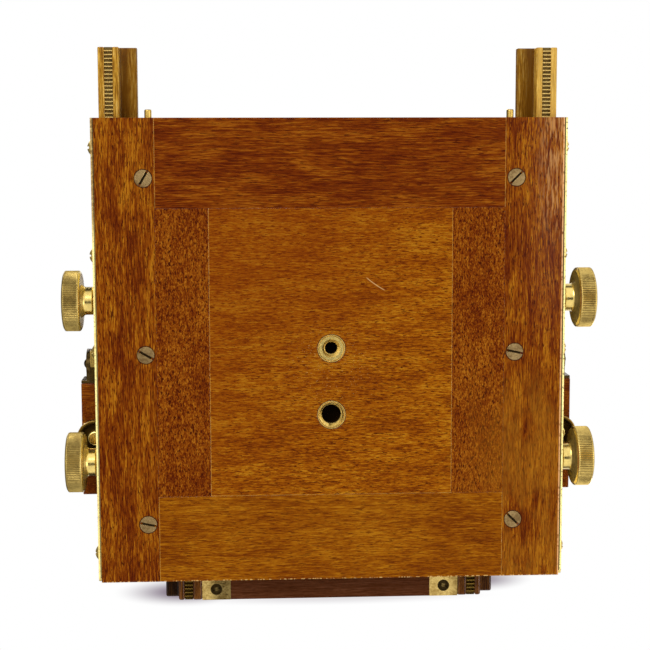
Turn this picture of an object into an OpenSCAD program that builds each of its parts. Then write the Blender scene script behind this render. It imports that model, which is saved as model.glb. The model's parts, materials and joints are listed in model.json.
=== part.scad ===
// Wooden flat-bed field camera for sheet film, 5 x 7 inch class, in millimetres.
// +Z is up, the lens looks along -Y, and the origin is the mouth of the small tripod bush.

/* [Base board] */
// Width of the base board, side to side
base_w = 190.5; // [187:0.5:200]
// Depth of the base board, front to back
base_d = 190.5; // [187:0.5:200]
// Thickness of the base board
base_t = 10.7; // [10.2:0.1:14]
// Width of each side board
stile_w = 24; // [22:0.5:26]
// Depth of the front cross board
front_board_d = 36.3; // [32:0.1:40]
// Depth of the rear cross board
rear_board_d = 35.8; // [30:0.1:38]
// Width of the strips beside the centre panel
strip_w = 21.5; // [18:0.5:24]
// How far the small bush lies ahead of the middle of the board
bush_ahead = 1.5; // [0:0.5:6]

/* [Tripod bushes] */
// Outer diameter of the small bush
small_bush_d = 11.8; // [9:0.1:14]
// Bore of the small bush, tapped for a 1/4 inch screw
small_bore_d = 5.1; // [4.9:0.05:5.3]
// Outer diameter of the large bush
large_bush_d = 12; // [11:0.1:15]
// Bore of the large bush, tapped for a 3/8 inch screw
large_bore_d = 7.95; // [7.8:0.05:8.2]
// Distance from the small bush back to the large one
bush_spacing = 27.5; // [18:0.5:30]
// Length of both bushes
bush_l = 9; // [6:0.5:9.5]

/* [Side plates and screws] */
// Thickness of the brass side plates
plate_t = 1.2; // [1:0.1:2]
// Head diameter of the round-head screws in the side plates
side_screw_d = 6.5; // [5:0.1:7]
// Height of those round heads
side_screw_h = 1.7; // [1.2:0.1:2.2]
// Head diameter of the flush screws under the base
base_screw_d = 7; // [6:0.1:8]
// Shank diameter of the flush screws
base_screw_shank = 3.4; // [2.8:0.1:4]
// Diameter of the two stop pins in the front edge
stop_pin_d = 2.9; // [2:0.1:4]
// How far the stop pins stand out
stop_pin_out = 3.4; // [2:0.2:5]

/* [Runners and rails] */
// Height of the sliding rails
rail_h = 9.5; // [8.5:0.1:12]
// Width of the toothed part of the front rails
front_rail_w = 8.5; // [7:0.1:9.5]
// Width of the tongue on the front rails
front_tongue_w = 7; // [5:0.1:8]
// Width of the toothed part of the rear rails
rear_rail_w = 9.9; // [8:0.1:12]
// Width of the tongue on the rear rails
rear_tongue_w = 5.6; // [4:0.1:7]
// Height of the tongues
tongue_h = 4; // [3:0.1:5]
// Width of the runner's web between the tongues
web_w = 8.1; // [7:0.1:10]
// Thickness of the brass strips that cap the runners
cap_t = 1.2; // [0.8:0.1:2]
// Length of the front rails
front_rail_l = 189; // [180:1:189]
// How far the front rails stand out ahead of the base
front_rail_out = 28.7; // [28.5:0.1:34]
// Length of the rear rails
rear_rail_l = 140; // [132:1:150]
// How far the rear rails stand out behind the base
rear_rail_out = 11.4; // [10.5:0.1:13]

/* [Rack and pinion] */
// Tooth size (pitch divided by pi)
tooth_m = 0.5; // [0.48:0.01:0.52]
// Teeth on each pinion
pinion_teeth = 16; // [15:1:17]
// Width of the racks
rack_w = 3.4; // [3:0.1:4]
// Height of the rack strips
rack_h = 2.6; // [2:0.1:4]
// How far the rear racks lie outside the middle of their rails
rear_rack_shift = 0.7; // [0:0.1:1]
// Diameter of the pinion shafts
shaft_d = 5; // [4:0.1:5.4]
// Front shaft, distance behind the front edge of the base
front_shaft_back = 74.1; // [70:0.5:80]
// Rear shaft, distance behind the front edge of the base
rear_shaft_back = 141.2; // [136:0.5:150]

/* [Focusing knobs] */
// Rim diameter of the focusing knobs
knob_d = 25; // [20:0.5:25]
// Rim thickness of the focusing knobs
knob_t = 7.2; // [5:0.1:9]
// Neck length of the focusing knobs
knob_neck_l = 4.9; // [4:0.1:9]
// Neck diameter of the focusing knobs
knob_neck_d = 11.4; // [9:0.1:13]

/* [Front standard] */
// Thickness of the cross board that carries the front standard
cross_t = 5; // [4:0.5:8]
// Depth of that cross board, front to back
cross_d = 42; // [36:1:46]
// Front edge of the cross board behind the front edge of the base
cross_back = 5.75; // [4:0.25:8]
// Thickness of the brass sheet of yoke and bracket
brass_t = 2; // [1.5:0.1:2.4]
// Width of the yoke's uprights, front to back
upright_d = 14; // [12:0.5:18]
// Height of the tilt axis above the cross board
tilt_axis_h = 13.6; // [13:0.1:16]
// Length of the yoke's uprights above the tilt axis
upright_l = 128; // [124:1:140]
// Outer size of the square lens frame
lens_frame_w = 133.4; // [126:0.2:136]
// Thickness of the lens frame
lens_frame_t = 12; // [10:0.5:14]
// Size of the square lens board
lens_board_w = 108; // [100:1:112]
// Thickness of the lens board
lens_board_t = 5; // [4:0.5:7]
// Opening behind the lens board
lens_opening_w = 96; // [84:1:98]
// Rim diameter of the clamp knobs on the yoke
yoke_knob_d = 18; // [14:0.5:20]

/* [Lens] */
// Diameter of the lens barrel
barrel_d = 42; // [36:1:48]
// How far the barrel stands out ahead of the lens board
barrel_out = 20.5; // [18:0.5:21]
// How far the barrel reaches back behind the lens board
barrel_in = 12; // [8:0.5:16]
// Wall of the barrel
barrel_wall = 3; // [2:0.5:4]
// Diameter of the flange on the lens board
flange_d = 60; // [54:1:70]
// Width of the aperture ring
aperture_w = 5; // [4:0.5:6]

/* [Rear standard] */
// How far the rear box stands out past each side of the base
box_overhang = 9.75; // [9:0.25:12]
// Depth of the rear box, front to back
box_d = 48; // [44:1:54]
// Thickness of the boards of the rear box
box_wall = 10; // [8:0.5:12]
// Front face of the rear box behind the front edge of the base
box_back = 111.25; // [108:0.25:114]
// Thickness of the platform on the rear rails
platform_t = 3.9; // [3:0.1:6]
// Thickness of the swing bar
swing_bar_t = 2; // [1.5:0.1:3]
// Radius of the hinge ears
ear_r = 6.3; // [5.5:0.1:6.5]
// Disc diameter of the two clamp screws under the rear standard
clamp_d = 15.6; // [12:0.2:16]

/* [Camera back] */
// How far the edges of the reversible back lie inside those of the box
back_inset = 6.5; // [5:0.5:8]
// Thickness of the reversible back
back_t = 8; // [6:0.5:12]
// Film width
film_w = 178; // [170:1:180]
// Film height
film_h = 127; // [120:1:130]
// Width of the wooden members of the focusing frame
focus_rim = 12; // [11:0.5:13]
// Thickness of the focusing frame
focus_t = 10; // [8:0.5:14]
// Thickness of the ground glass
glass_t = 2; // [1.5:0.1:3]
// Width of the flat springs on the back
spring_w = 8; // [6:0.5:10]

/* [Bellows and handle] */
// Number of folds in the bellows
folds = 16; // [10:1:20]
// Depth of a fold
fold_h = 7; // [4:0.5:9]
// Thickness of the bellows cloth
cloth_t = 0.8; // [0.5:0.1:1.2]
// Gap between the bellows and the boards of the rear box
bellows_clear = 2; // [1.5:0.5:8]
// Outer size of the bellows at the lens frame
bellows_front_w = 106; // [100:1:120]
// Length of the leather handle between its ends
handle_l = 124; // [110:1:150]
// Height of the handle's arch
handle_h = 20; // [16:1:28]
// Width of the handle strap
handle_w = 20; // [16:1:26]
// Thickness of the handle strap
handle_t = 4; // [3:0.5:6]

/* [Hidden] */
$fn = 64;

// Clearances: sliding wood, sliding brass, turning shafts, pieces seated in each other
run_gap = 0.3;
brass_gap = 0.2;
shaft_gap = 0.05;
seat_gap = 0.02;

// Places front to back
base_front = -base_d / 2 + bush_ahead;
base_rear = base_front + base_d;
front_shaft_y = base_front + front_shaft_back;
rear_shaft_y = base_front + rear_shaft_back;
front_rail_y = base_front - front_rail_out;
rear_rail_end = base_rear + rear_rail_out;
base_screw_rows = [24.2, 95.8, 166.3];
base_screw_slots = [[-60, -45], [30, 12], [12, 45]];
side_screw_rows = [11.8, 55.4, 95, 179];

// Places side to side, as distances from the middle
rail_side_gap = 1.3;
front_rail_x1 = base_w / 2 - rail_side_gap;
front_rail_x0 = front_rail_x1 - front_rail_w;
front_tongue_x0 = front_rail_x0 - front_tongue_w;
web_x1 = front_tongue_x0 - run_gap;
web_x0 = web_x1 - web_w;
rear_tongue_x1 = web_x0 - run_gap;
rear_rail_x1 = rear_tongue_x1 - rear_tongue_w;
rear_rail_x0 = rear_rail_x1 - rear_rail_w;
front_rack_x = (front_rail_x0 + front_rail_x1) / 2;
rear_rack_x = (rear_rail_x0 + rear_rail_x1) / 2 + rear_rack_shift;
base_screw_x = (web_x0 + web_x1) / 2 + 1.6;
stop_pin_x = (web_x0 + web_x1) / 2 - 0.5;
plate_x = base_w / 2;
plate_out_x = plate_x + plate_t;

// Heights
rail_z = base_t + run_gap;
rail_top = rail_z + rail_h;
tongue_z = rail_top - tongue_h;
web_top = rail_top + run_gap;
cap_top = web_top + cap_t;
plate_h = rail_top;
pitch_z = rail_z + tooth_m;
pinion_r = tooth_m * pinion_teeth / 2;
shaft_z = pitch_z - pinion_r;
edge_z = base_t / 2;

// Tooth form, with a 20 degree flank
tooth_pitch = PI * tooth_m;
flank = 20;
backlash = 0.12;
rack_add = 0.9 * tooth_m;
tooth_ded = 1.2 * tooth_m;
pinion_w = rack_w - 2 * brass_gap;
base_circle_r = pinion_r * cos(flank);
pinion_tip_r = pinion_r + 0.9 * tooth_m;
pinion_root_r = pinion_r - tooth_ded;

// Front standard
cross_y0 = base_front + cross_back;
cross_y1 = cross_y0 + cross_d;
cross_z0 = cap_top + 2 * brass_gap;
cross_top = cross_z0 + cross_t;
tilt_y = (cross_y0 + cross_y1) / 2;
tilt_z = cross_top + tilt_axis_h;
frame_half = lens_frame_w / 2;
frame_y0 = tilt_y - lens_frame_t / 2 - 2;
frame_y1 = frame_y0 + lens_frame_t;
upright_gap = 1.3;
upright_x0 = frame_half + upright_gap;
upright_x1 = upright_x0 + brass_t;
bracket_x0 = upright_x1 + brass_gap;
bracket_x1 = bracket_x0 + brass_t;
yoke_base_drop = 7.5;
stud_r = 3;
rise_stud_r = 2.4;
rise_down = 10;
rise_up = 30;
rise_knob_below = 14;
catch_travel = 6;
catch_t = 1.2;

// Rear standard
platform_z = rail_top;
platform_top = platform_z + platform_t;
swing_z0 = platform_top + brass_gap;
swing_top = swing_z0 + swing_bar_t;
box_z0 = swing_top + brass_gap;
box_w = base_w + 2 * box_overhang;
box_half = box_w / 2;
box_in = box_half - box_wall;
box_y0 = base_front + box_back;
box_y1 = box_y0 + box_d;
axis_z = box_z0 + box_half;
box_top = box_z0 + box_w;
hinge_y = box_y0 - 7.8;
hinge_z = box_z0 + 6.4;
ear_x1 = box_half - 4.2;
ear_x0 = ear_x1 - 1.8;
lug_x0 = ear_x1 + brass_gap;
lug_x1 = lug_x0 + 1.8;
lug_foot_t = 1.2;
hinge_shank_r = 1.9;
hinge_head_d = 4.6;
hinge_head_h = 1.5;
clamp_x = box_half - 6;
clamp_back = 22.7;
clamp_y = box_y0 + clamp_back;
clamp_hub_r = 3.1;
clamp_t = 3.2;
clamp_stud_r = 2;
tab_r = 7.2;
pivot_r = 4;

// Camera back
back_w = box_w - 2 * back_inset;
back_half = back_w / 2;
back_y1 = box_y1 + back_t;
window_w = film_w + 4;
window_h = film_h + 4;
focus_w = film_w - 8 + 2 * focus_rim;
focus_h = film_h - 8 + 2 * focus_rim;
focus_y0 = back_y1 + brass_gap;
focus_y1 = focus_y0 + focus_t;
glass_rebate = 5;
spring_t = 0.8;
spring_foot = 10;

// Flange, barrel and aperture ring
flange_t = 3;
barrel_r = barrel_d / 2;
board_y0 = frame_y0;
barrel_y0 = board_y0 - barrel_out;
barrel_y1 = board_y0 + lens_board_t + barrel_in;
aperture_y0 = barrel_y0 + 6;
aperture_r = barrel_r + 2.6;
lens_t = 5;

bellows_y0 = frame_y1;
bellows_frame_t = 5;
bellows_y1 = box_y1 - bellows_frame_t;
bellows_lip = 6;
bellows_rear_w = 2 * (box_in - bellows_clear);

// A box between two corners, given as its range along each axis
module slab(x, y, z) {
    translate([x[0], y[0], z[0]]) cube([x[1] - x[0], y[1] - y[0], z[1] - z[0]]);
}

module both_sides() {
    children();
    mirror([1, 0, 0]) children();
}

// A flat outline in x and z, run along y
module along_y(y) {
    translate([0, y[1], 0]) rotate([90, 0, 0]) linear_extrude(y[1] - y[0]) children();
}

// A flat outline in y and z, run along x
module along_x(x) {
    translate([x[0], 0, 0]) rotate([90, 0, 90]) linear_extrude(x[1] - x[0]) children();
}

module rod_x(r, x, y, z) {
    translate([x[0], y, z]) rotate([0, 90, 0]) cylinder(r = r, h = x[1] - x[0]);
}

module rod_y(r, y, x, z) {
    translate([x, y[1], z]) rotate([90, 0, 0]) cylinder(r = r, h = y[1] - y[0]);
}

// A square frame standing in the x-z plane, centred on height z
module square_frame(outer, inner, y, z) {
    difference() {
        slab([-outer[0] / 2, outer[0] / 2], y, [z - outer[1] / 2, z + outer[1] / 2]);
        slab([-inner[0] / 2, inner[0] / 2], [y[0] - 1, y[1] + 1], [z - inner[1] / 2, z + inner[1] / 2]);
    }
}

// A round head with its slot, sitting on z = 0 and rising along +z
module round_head(d, h) {
    ball_r = (d * d / 4 + h * h) / (2 * h);
    difference() {
        intersection() {
            translate([0, 0, h - ball_r]) sphere(r = ball_r);
            cylinder(d = d + 1, h = h + 1);
        }
        translate([-d, -slot_w / 2, h - slot_depth]) cube([2 * d, slot_w, h]);
    }
}
slot_w = 0.9;
slot_depth = 0.9;

// A sunk screw, its head flush with z = 0 and its shank rising to z = l
module sunk_screw(d, shank, l, grow) {
    cone_h = (d - shank) / 2;
    cylinder(d1 = d + 2 * grow, d2 = shank + 2 * grow, h = cone_h);
    cylinder(d = shank + 2 * grow, h = l + grow);
}

module at_base_screws() {
    for (row = base_screw_rows, side = [-1, 1])
        translate([side * base_screw_x, base_front + row, 0]) children();
}
base_screw_l = base_t + rail_h - 4;
base_screw_tip = 0.3;

module base_screw_holes() {
    at_base_screws() translate([0, 0, -seat_gap])
        sunk_screw(base_screw_d, base_screw_shank, base_screw_l + base_screw_tip, shaft_gap);
}

module at_side_screws() {
    for (row = side_screw_rows) translate([plate_out_x, base_front + row, edge_z]) children();
}
side_shank_r = 1.5;
side_shank_l = 12;

module side_screw_holes() {
    both_sides() at_side_screws() rotate([0, -90, 0])
        cylinder(r = side_shank_r + shaft_gap, h = side_shank_l + 0.5);
}

stop_pin_in = 8;

module stop_pin_holes() {
    both_sides() rod_y(stop_pin_d / 2 + shaft_gap, [base_front - 1, base_front + stop_pin_in + 0.3],
        stop_pin_x, edge_z);
}

// What the pinion shafts and pinions need cut out of the top of the base
module drive_cuts() {
    for (drive = [[front_shaft_y, front_rack_x], [rear_shaft_y, rear_rack_x]]) {
        half = shaft_d / 2 + run_gap;
        slab([-base_w, base_w], [drive[0] - half, drive[0] + half], [shaft_z - half, base_t + 1]);
        pocket = pinion_tip_r + run_gap;
        both_sides() slab([drive[1] - pinion_w / 2 - 0.6, drive[1] + pinion_w / 2 + 0.6],
            [drive[0] - pocket, drive[0] + pocket], [shaft_z - pocket, base_t + 1]);
    }
}

module base_board(x, y) {
    difference() {
        slab(x, y, [0, base_t]);
        drive_cuts();
        base_screw_holes();
        side_screw_holes();
        stop_pin_holes();
        cylinder(d = small_bush_d + 2 * seat_gap, h = 2 * bush_l, center = true);
        translate([0, bush_spacing, 0])
            cylinder(d = large_bush_d + 2 * seat_gap, h = 2 * bush_l, center = true);
    }
}

stile_x = base_w / 2 - stile_w;
panel_x = stile_x - strip_w;
panel_y0 = base_front + front_board_d;
panel_y1 = base_rear - rear_board_d;

module base_stile_left() {
    color("saddlebrown") base_board([-base_w / 2, -stile_x], [base_front, base_rear]);
}

module base_stile_right() {
    color("saddlebrown") base_board([stile_x, base_w / 2], [base_front, base_rear]);
}

module base_board_front() {
    color("sienna") base_board([-stile_x, stile_x], [base_front, panel_y0]);
}

module base_board_rear() {
    color("sienna") base_board([-stile_x, stile_x], [panel_y1, base_rear]);
}

module base_strips() {
    color("brown") both_sides() base_board([panel_x, stile_x], [panel_y0, panel_y1]);
}

module base_panel() {
    color("peru") base_board([-panel_x, panel_x], [panel_y0, panel_y1]);
}

module tapped_bush(d, bore) {
    difference() {
        cylinder(d = d, h = bush_l);
        translate([0, 0, -1]) cylinder(d = bore, h = bush_l + 2);
    }
}

module small_bush() {
    color("goldenrod") tapped_bush(small_bush_d, small_bore_d);
}

module large_bush() {
    color("goldenrod") translate([0, bush_spacing, 0]) tapped_bush(large_bush_d, large_bore_d);
}

// Brass plates down both edges, with bearing holes for the shafts
plate_corner_r = 3;
module side_plates() {
    color("gold") both_sides() difference() {
        union() {
            slab([plate_x, plate_out_x], [base_front, base_rear - plate_corner_r], [0, plate_h]);
            slab([plate_x, plate_out_x], [base_front, base_rear], [plate_corner_r, plate_h - plate_corner_r]);
            for (z = [plate_corner_r, plate_h - plate_corner_r])
                rod_x(plate_corner_r, [plate_x, plate_out_x], base_rear - plate_corner_r, z);
        }
        for (y = [front_shaft_y, rear_shaft_y])
            rod_x(shaft_d / 2 + shaft_gap, [plate_x - 1, plate_out_x + 1], y, shaft_z);
        side_screw_holes();
    }
}

module side_screws() {
    color("darkgoldenrod") both_sides() at_side_screws() {
        rotate([0, 90, 0]) round_head(side_screw_d, side_screw_h);
        rotate([0, -90, 0]) cylinder(r = side_shank_r, h = side_shank_l);
    }
}

module base_screws() {
    color("khaki") for (i = [0 : len(base_screw_rows) - 1], side = [0, 1])
        translate([(2 * side - 1) * base_screw_x, base_front + base_screw_rows[i], 0]) difference() {
            sunk_screw(base_screw_d, base_screw_shank, base_screw_l, 0);
            rotate([0, 0, base_screw_slots[i][side]])
                translate([-base_screw_d, -slot_w / 2, -1]) cube([2 * base_screw_d, slot_w, 1 + slot_depth]);
        }
}

// Fixed wooden runners: a foot on the base and a web that keeps the two tongues apart
module runners() {
    foot_top = tongue_z - run_gap;
    color("chocolate") both_sides() difference() {
        along_y([base_front, base_rear]) polygon([
            [rear_rail_x1 + run_gap, base_t], [front_rail_x0 - run_gap, base_t],
            [front_rail_x0 - run_gap, foot_top], [web_x1, foot_top], [web_x1, web_top],
            [web_x0, web_top], [web_x0, foot_top], [rear_rail_x1 + run_gap, foot_top]]);
        base_screw_holes();
    }
}

module runner_caps() {
    color("gold") both_sides()
        slab([rear_rail_x1 + run_gap, front_rail_x0 - run_gap], [base_front, base_rear], [web_top, cap_top]);
}

module stop_pins() {
    tip = base_front - stop_pin_out;
    chamfer = 0.5;
    color("gold") both_sides() {
        rod_y(stop_pin_d / 2, [tip + chamfer, base_front + stop_pin_in], stop_pin_x, edge_z);
        translate([stop_pin_x, tip + chamfer, edge_z]) rotate([90, 0, 0])
            cylinder(r1 = stop_pin_d / 2, r2 = stop_pin_d / 2 - chamfer, h = chamfer);
    }
}

// Half the angle of a pinion tooth at radius r, in degrees
function involute(r) = tan(acos(base_circle_r / r)) * 180 / PI - acos(base_circle_r / r);
half_at_pitch = 90 / pinion_teeth - backlash / 4 / pinion_r * 180 / PI;
function tooth_half(r) = half_at_pitch + involute(pinion_r) - involute(max(r, base_circle_r));

// One tooth after another: up one flank and down the other
flank_radii = [pinion_root_r, base_circle_r, pinion_r, pinion_tip_r];
function pinion_points() = [for (i = [0 : pinion_teeth - 1], k = [0 : 7])
    let (r = flank_radii[k < 4 ? k : 7 - k], side = k < 4 ? -1 : 1,
        a = 90 + i * 360 / pinion_teeth + side * tooth_half(r)) [r * cos(a), r * sin(a)]];

module pinion_shaft(y, rack_x) {
    reach = plate_out_x + shaft_end;
    translate([0, y, shaft_z]) {
        rod_x(shaft_d / 2, [-reach, reach], 0, 0);
        both_sides() along_x([rack_x - pinion_w / 2, rack_x + pinion_w / 2]) polygon(pinion_points());
    }
}
shaft_end = 9;

module front_shaft() {
    color("gold") pinion_shaft(front_shaft_y, front_rack_x);
}

module rear_shaft() {
    color("gold") pinion_shaft(rear_shaft_y, rear_rack_x);
}

// A disc with a straight-knurled rim between two bevelled edges, rising along +z
module knurled_rim(d, t) {
    bevel = 0.9;
    teeth = floor(PI * d / 1.1);
    root = d / 2 - 0.35;
    shoulder = root - 0.1;
    cylinder(r1 = shoulder - bevel, r2 = shoulder, h = bevel);
    translate([0, 0, bevel]) linear_extrude(t - 2 * bevel) polygon([for (i = [0 : 2 * teeth - 1])
        let (r = i % 2 == 0 ? d / 2 : root, a = i * 180 / teeth) [r * cos(a), r * sin(a)]]);
    translate([0, 0, t - bevel]) cylinder(r1 = shoulder, r2 = shoulder - bevel, h = bevel);
}

// Focusing knob, its neck starting at z = 0 and its rim outermost
module focus_knob() {
    neck_r = knob_neck_d / 2;
    difference() {
        union() {
            rotate_extrude() polygon([[0, 0], [neck_r - 0.4, 0], [neck_r, 0.4], [neck_r, knob_neck_l - 1.2],
                [neck_r + 1.2, knob_neck_l], [0, knob_neck_l]]);
            translate([0, 0, knob_neck_l]) knurled_rim(knob_d, knob_t);
        }
        translate([0, 0, -1]) cylinder(d = shaft_d + 2 * seat_gap, h = 1 + shaft_end - knob_gap + 0.1);
        translate([0, 0, knob_neck_l + knob_t - 0.8]) difference() {
            cylinder(r = knob_d / 2 - 3.2, h = 2);
            translate([0, 0, -1]) cylinder(r = knob_d / 2 - 8.6, h = 4);
        }
    }
}
knob_gap = 0.5;

module place_knob(y) {
    translate([plate_out_x + knob_gap, y, shaft_z]) rotate([0, 90, 0]) focus_knob();
}

module front_knob_left() {
    color("gold") mirror([1, 0, 0]) place_knob(front_shaft_y);
}

module front_knob_right() {
    color("gold") place_knob(front_shaft_y);
}

module rear_knob_left() {
    color("gold") mirror([1, 0, 0]) place_knob(rear_shaft_y);
}

module rear_knob_right() {
    color("gold") place_knob(rear_shaft_y);
}

// Brass rack, teeth down, in phase with a pinion tooth that points straight up at shaft_y
module rack(x, y, shaft_y) {
    half = tooth_pitch / 4 - backlash / 4;
    first = ceil((y[0] - shaft_y) / tooth_pitch + 0.05);
    last = floor((y[1] - shaft_y) / tooth_pitch - 1.05);
    tip = half - rack_add * tan(flank);
    root = half + tooth_ded * tan(flank);
    tip_z = pitch_z - rack_add;
    root_z = pitch_z + tooth_ded;
    along_x([x - rack_w / 2, x + rack_w / 2]) polygon(concat(
        [[y[1], rail_z + rack_h], [y[0], rail_z + rack_h], [y[0], root_z]],
        [for (k = [first : last]) let (c = shaft_y + (k + 0.5) * tooth_pitch)
            each [[c - root, root_z], [c - tip, tip_z], [c + tip, tip_z], [c + root, root_z]]],
        [[y[1], root_z]]));
}

module rack_groove(x, y) {
    slab([x - rack_w / 2 - seat_gap, x + rack_w / 2 + seat_gap], [y[0] - 1, y[1] + 1],
        [rail_z - 1, rail_z + rack_h]);
}

front_rail_y1 = front_rail_y + front_rail_l;
rear_rail_y0 = rear_rail_end - rear_rail_l;

module front_rail() {
    difference() {
        along_y([front_rail_y, front_rail_y1]) polygon([[front_tongue_x0, tongue_z],
            [front_rail_x0, tongue_z], [front_rail_x0, rail_z], [front_rail_x1, rail_z],
            [front_rail_x1, rail_top], [front_tongue_x0, rail_top]]);
        rack_groove(front_rack_x, [front_rail_y, front_rail_y1]);
    }
}

module front_rail_left() {
    color("burlywood") mirror([1, 0, 0]) front_rail();
}

module front_rail_right() {
    color("burlywood") front_rail();
}

module front_racks() {
    color("gold") both_sides() rack(front_rack_x, [front_rail_y, front_rail_y1], front_shaft_y);
}

// Cross board on the front rails, rebated to clear the runner caps
module front_crossboard() {
    color("peru") difference() {
        slab([-front_rail_x1, front_rail_x1], [cross_y0, cross_y1], [rail_top, cross_top]);
        slab([-front_rail_x0 - run_gap, front_rail_x0 + run_gap], [cross_y0 - 1, cross_y1 + 1],
            [rail_top - 1, cross_z0]);
    }
}

// Plate with a rounded top around an axis at (y, z), standing on z0
module ear(x, r, y, z, z0) {
    rod_x(r, x, y, z);
    slab(x, [y - r, y + r], [z0, z]);
}

module front_bracket() {
    color("gold") difference() {
        union() {
            slab([-bracket_x1, bracket_x1], [tilt_y - upright_d / 2, tilt_y + upright_d / 2],
                [cross_top, cross_top + brass_t]);
            both_sides() ear([bracket_x0, bracket_x1], upright_d / 2, tilt_y, tilt_z, cross_top);
        }
        rod_x(stud_r + shaft_gap, [-bracket_x1 - 1, bracket_x1 + 1], tilt_y, tilt_z);
    }
}

rise_z = axis_z - rise_knob_below;
upright_top = tilt_z + upright_l;

module slot_x(r, x, y, z) {
    rod_x(r, x, y, z[0]);
    rod_x(r, x, y, z[1]);
    slab(x, [y - r, y + r], z);
}

// Brass yoke: a cross plate and two slotted uprights
module front_yoke() {
    low = tilt_z - yoke_base_drop - brass_t;
    color("gold") difference() {
        union() {
            slab([-upright_x1, upright_x1], [tilt_y - upright_d / 2, tilt_y + upright_d / 2],
                [low, low + brass_t]);
            both_sides()
                ear([upright_x0, upright_x1], upright_d / 2, tilt_y, upright_top - upright_d / 2, low);
        }
        rod_x(stud_r + shaft_gap, [-upright_x1 - 1, upright_x1 + 1], tilt_y, tilt_z);
        both_sides() slot_x(rise_stud_r + brass_gap, [upright_x0 - 1, upright_x1 + 1], tilt_y,
            [rise_z - rise_down - brass_gap, rise_z + rise_up + brass_gap]);
    }
}

// Clamp knob on the yoke, its rim starting at z = 0 and its stud pointing back along -z
module yoke_knob(stud, l) {
    rim_t = 6;
    translate([0, 0, 1.6]) knurled_rim(yoke_knob_d, rim_t);
    cylinder(r = yoke_knob_d / 2 - 3, h = 2);
    translate([0, 0, -l]) cylinder(r = stud, h = l + 1);
    translate([0, 0, rim_t + 1.6]) cylinder(r = yoke_knob_d / 2 - 4.5, h = 1);
}

module tilt_knob() {
    translate([bracket_x1 + brass_gap, tilt_y, tilt_z]) rotate([0, 90, 0])
        yoke_knob(stud_r, bracket_x1 - upright_x0 + 2 * brass_gap);
}

module tilt_knob_left() {
    color("gold") mirror([1, 0, 0]) tilt_knob();
}

module tilt_knob_right() {
    color("gold") tilt_knob();
}

rise_stud_in = 8;
module rise_knob() {
    translate([upright_x1 + brass_gap, tilt_y, rise_z]) rotate([0, 90, 0])
        yoke_knob(rise_stud_r, upright_x1 - frame_half + brass_gap + rise_stud_in);
}

module rise_knob_left() {
    color("gold") mirror([1, 0, 0]) rise_knob();
}

module rise_knob_right() {
    color("gold") rise_knob();
}

// Square wooden frame with a rebate for the lens board at the front
module lens_frame() {
    opening = lens_board_w + 2 * run_gap;
    color("peru") difference() {
        square_frame([lens_frame_w, lens_frame_w], [lens_opening_w, lens_opening_w], [frame_y0, frame_y1],
            axis_z);
        slab([-opening / 2, opening / 2], [frame_y0 - 1, frame_y0 + lens_board_t],
            [axis_z - opening / 2, axis_z + opening / 2]);
        both_sides() rod_x(rise_stud_r + shaft_gap, [frame_half - rise_stud_in - 0.5, frame_half + 1],
            tilt_y, rise_z);
    }
}

module lens_board() {
    half = lens_board_w / 2;
    color("sienna") difference() {
        slab([-half, half], [board_y0, board_y0 + lens_board_t], [axis_z - half, axis_z + half]);
        rod_y(barrel_r + seat_gap, [board_y0 - 1, board_y0 + lens_board_t + 1], 0, axis_z);
    }
}

// Barrel with its flange, open from end to end
module lens_barrel() {
    step = barrel_out - flange_t;
    back = barrel_out + lens_board_t + barrel_in;
    bore = barrel_r - barrel_wall;
    color("gold") translate([0, barrel_y0, axis_z]) rotate([-90, 0, 0]) rotate_extrude() polygon([
        [bore + 1.6, 0], [barrel_r + 1.4, 0], [barrel_r + 1.4, 3.5], [barrel_r, 5], [barrel_r, step],
        [flange_d / 2 - 0.8, step], [flange_d / 2, step + 0.8], [flange_d / 2, barrel_out],
        [barrel_r, barrel_out], [barrel_r, back], [bore, back], [bore, 2.4]]);
}

// Front and rear lenses, each bulging both ways
module lens_glass() {
    bore = barrel_r - barrel_wall - seat_gap;
    bulge_r = 60;
    color("lightcyan") for (y = [barrel_y0 + 7.5, barrel_y1 - 5.5])
        translate([0, y, axis_z]) rotate([90, 0, 0]) intersection() {
            cylinder(r = bore, h = 3 * lens_t, center = true);
            translate([0, 0, lens_t / 2 - bulge_r + 1]) sphere(r = bulge_r, $fn = 128);
            translate([0, 0, bulge_r - lens_t / 2 - 1]) sphere(r = bulge_r, $fn = 128);
        }
}

module aperture_ring() {
    color("goldenrod") translate([0, aperture_y0, axis_z]) rotate([-90, 0, 0]) difference() {
        union() {
            knurled_rim(2 * aperture_r, aperture_w);
            rotate([0, 0, -90]) translate([aperture_r - 0.6, -1.2, 1]) cube([4, 2.4, aperture_w - 2]);
        }
        translate([0, 0, -1]) cylinder(r = barrel_r + shaft_gap, h = aperture_w + 2);
    }
}

// Sliding brass catch above the lens board
module board_catch() {
    edge = axis_z + lens_board_w / 2;
    color("gold") translate([0, frame_y0 - brass_gap, 0]) {
        slab([-14, 14], [-catch_t, 0], [edge - 3, edge + 7]);
        rod_y(2.2, [-catch_t - 3, -catch_t], 0, edge + 3);
    }
}

module rear_rail() {
    difference() {
        along_y([rear_rail_y0, rear_rail_end]) polygon([[rear_rail_x0, rail_z], [rear_rail_x1, rail_z],
            [rear_rail_x1, tongue_z], [rear_tongue_x1, tongue_z], [rear_tongue_x1, rail_top],
            [rear_rail_x0, rail_top]]);
        rack_groove(rear_rack_x, [rear_rail_y0, rear_rail_end]);
    }
}

module rear_rail_left() {
    color("peru") mirror([1, 0, 0]) rear_rail();
}

module rear_rail_right() {
    color("peru") rear_rail();
}

module rear_racks() {
    color("gold") both_sides() rack(rear_rack_x, [rear_rail_y0, rear_rail_end], rear_shaft_y);
}

corner_w = 12;
corner_d = 24;
corner_t = 1.2;
corner_screw_in = 4.5;
corner_screw_x = rear_rail_x0 - corner_w / 2;
crosspiece_d = 26;

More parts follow.
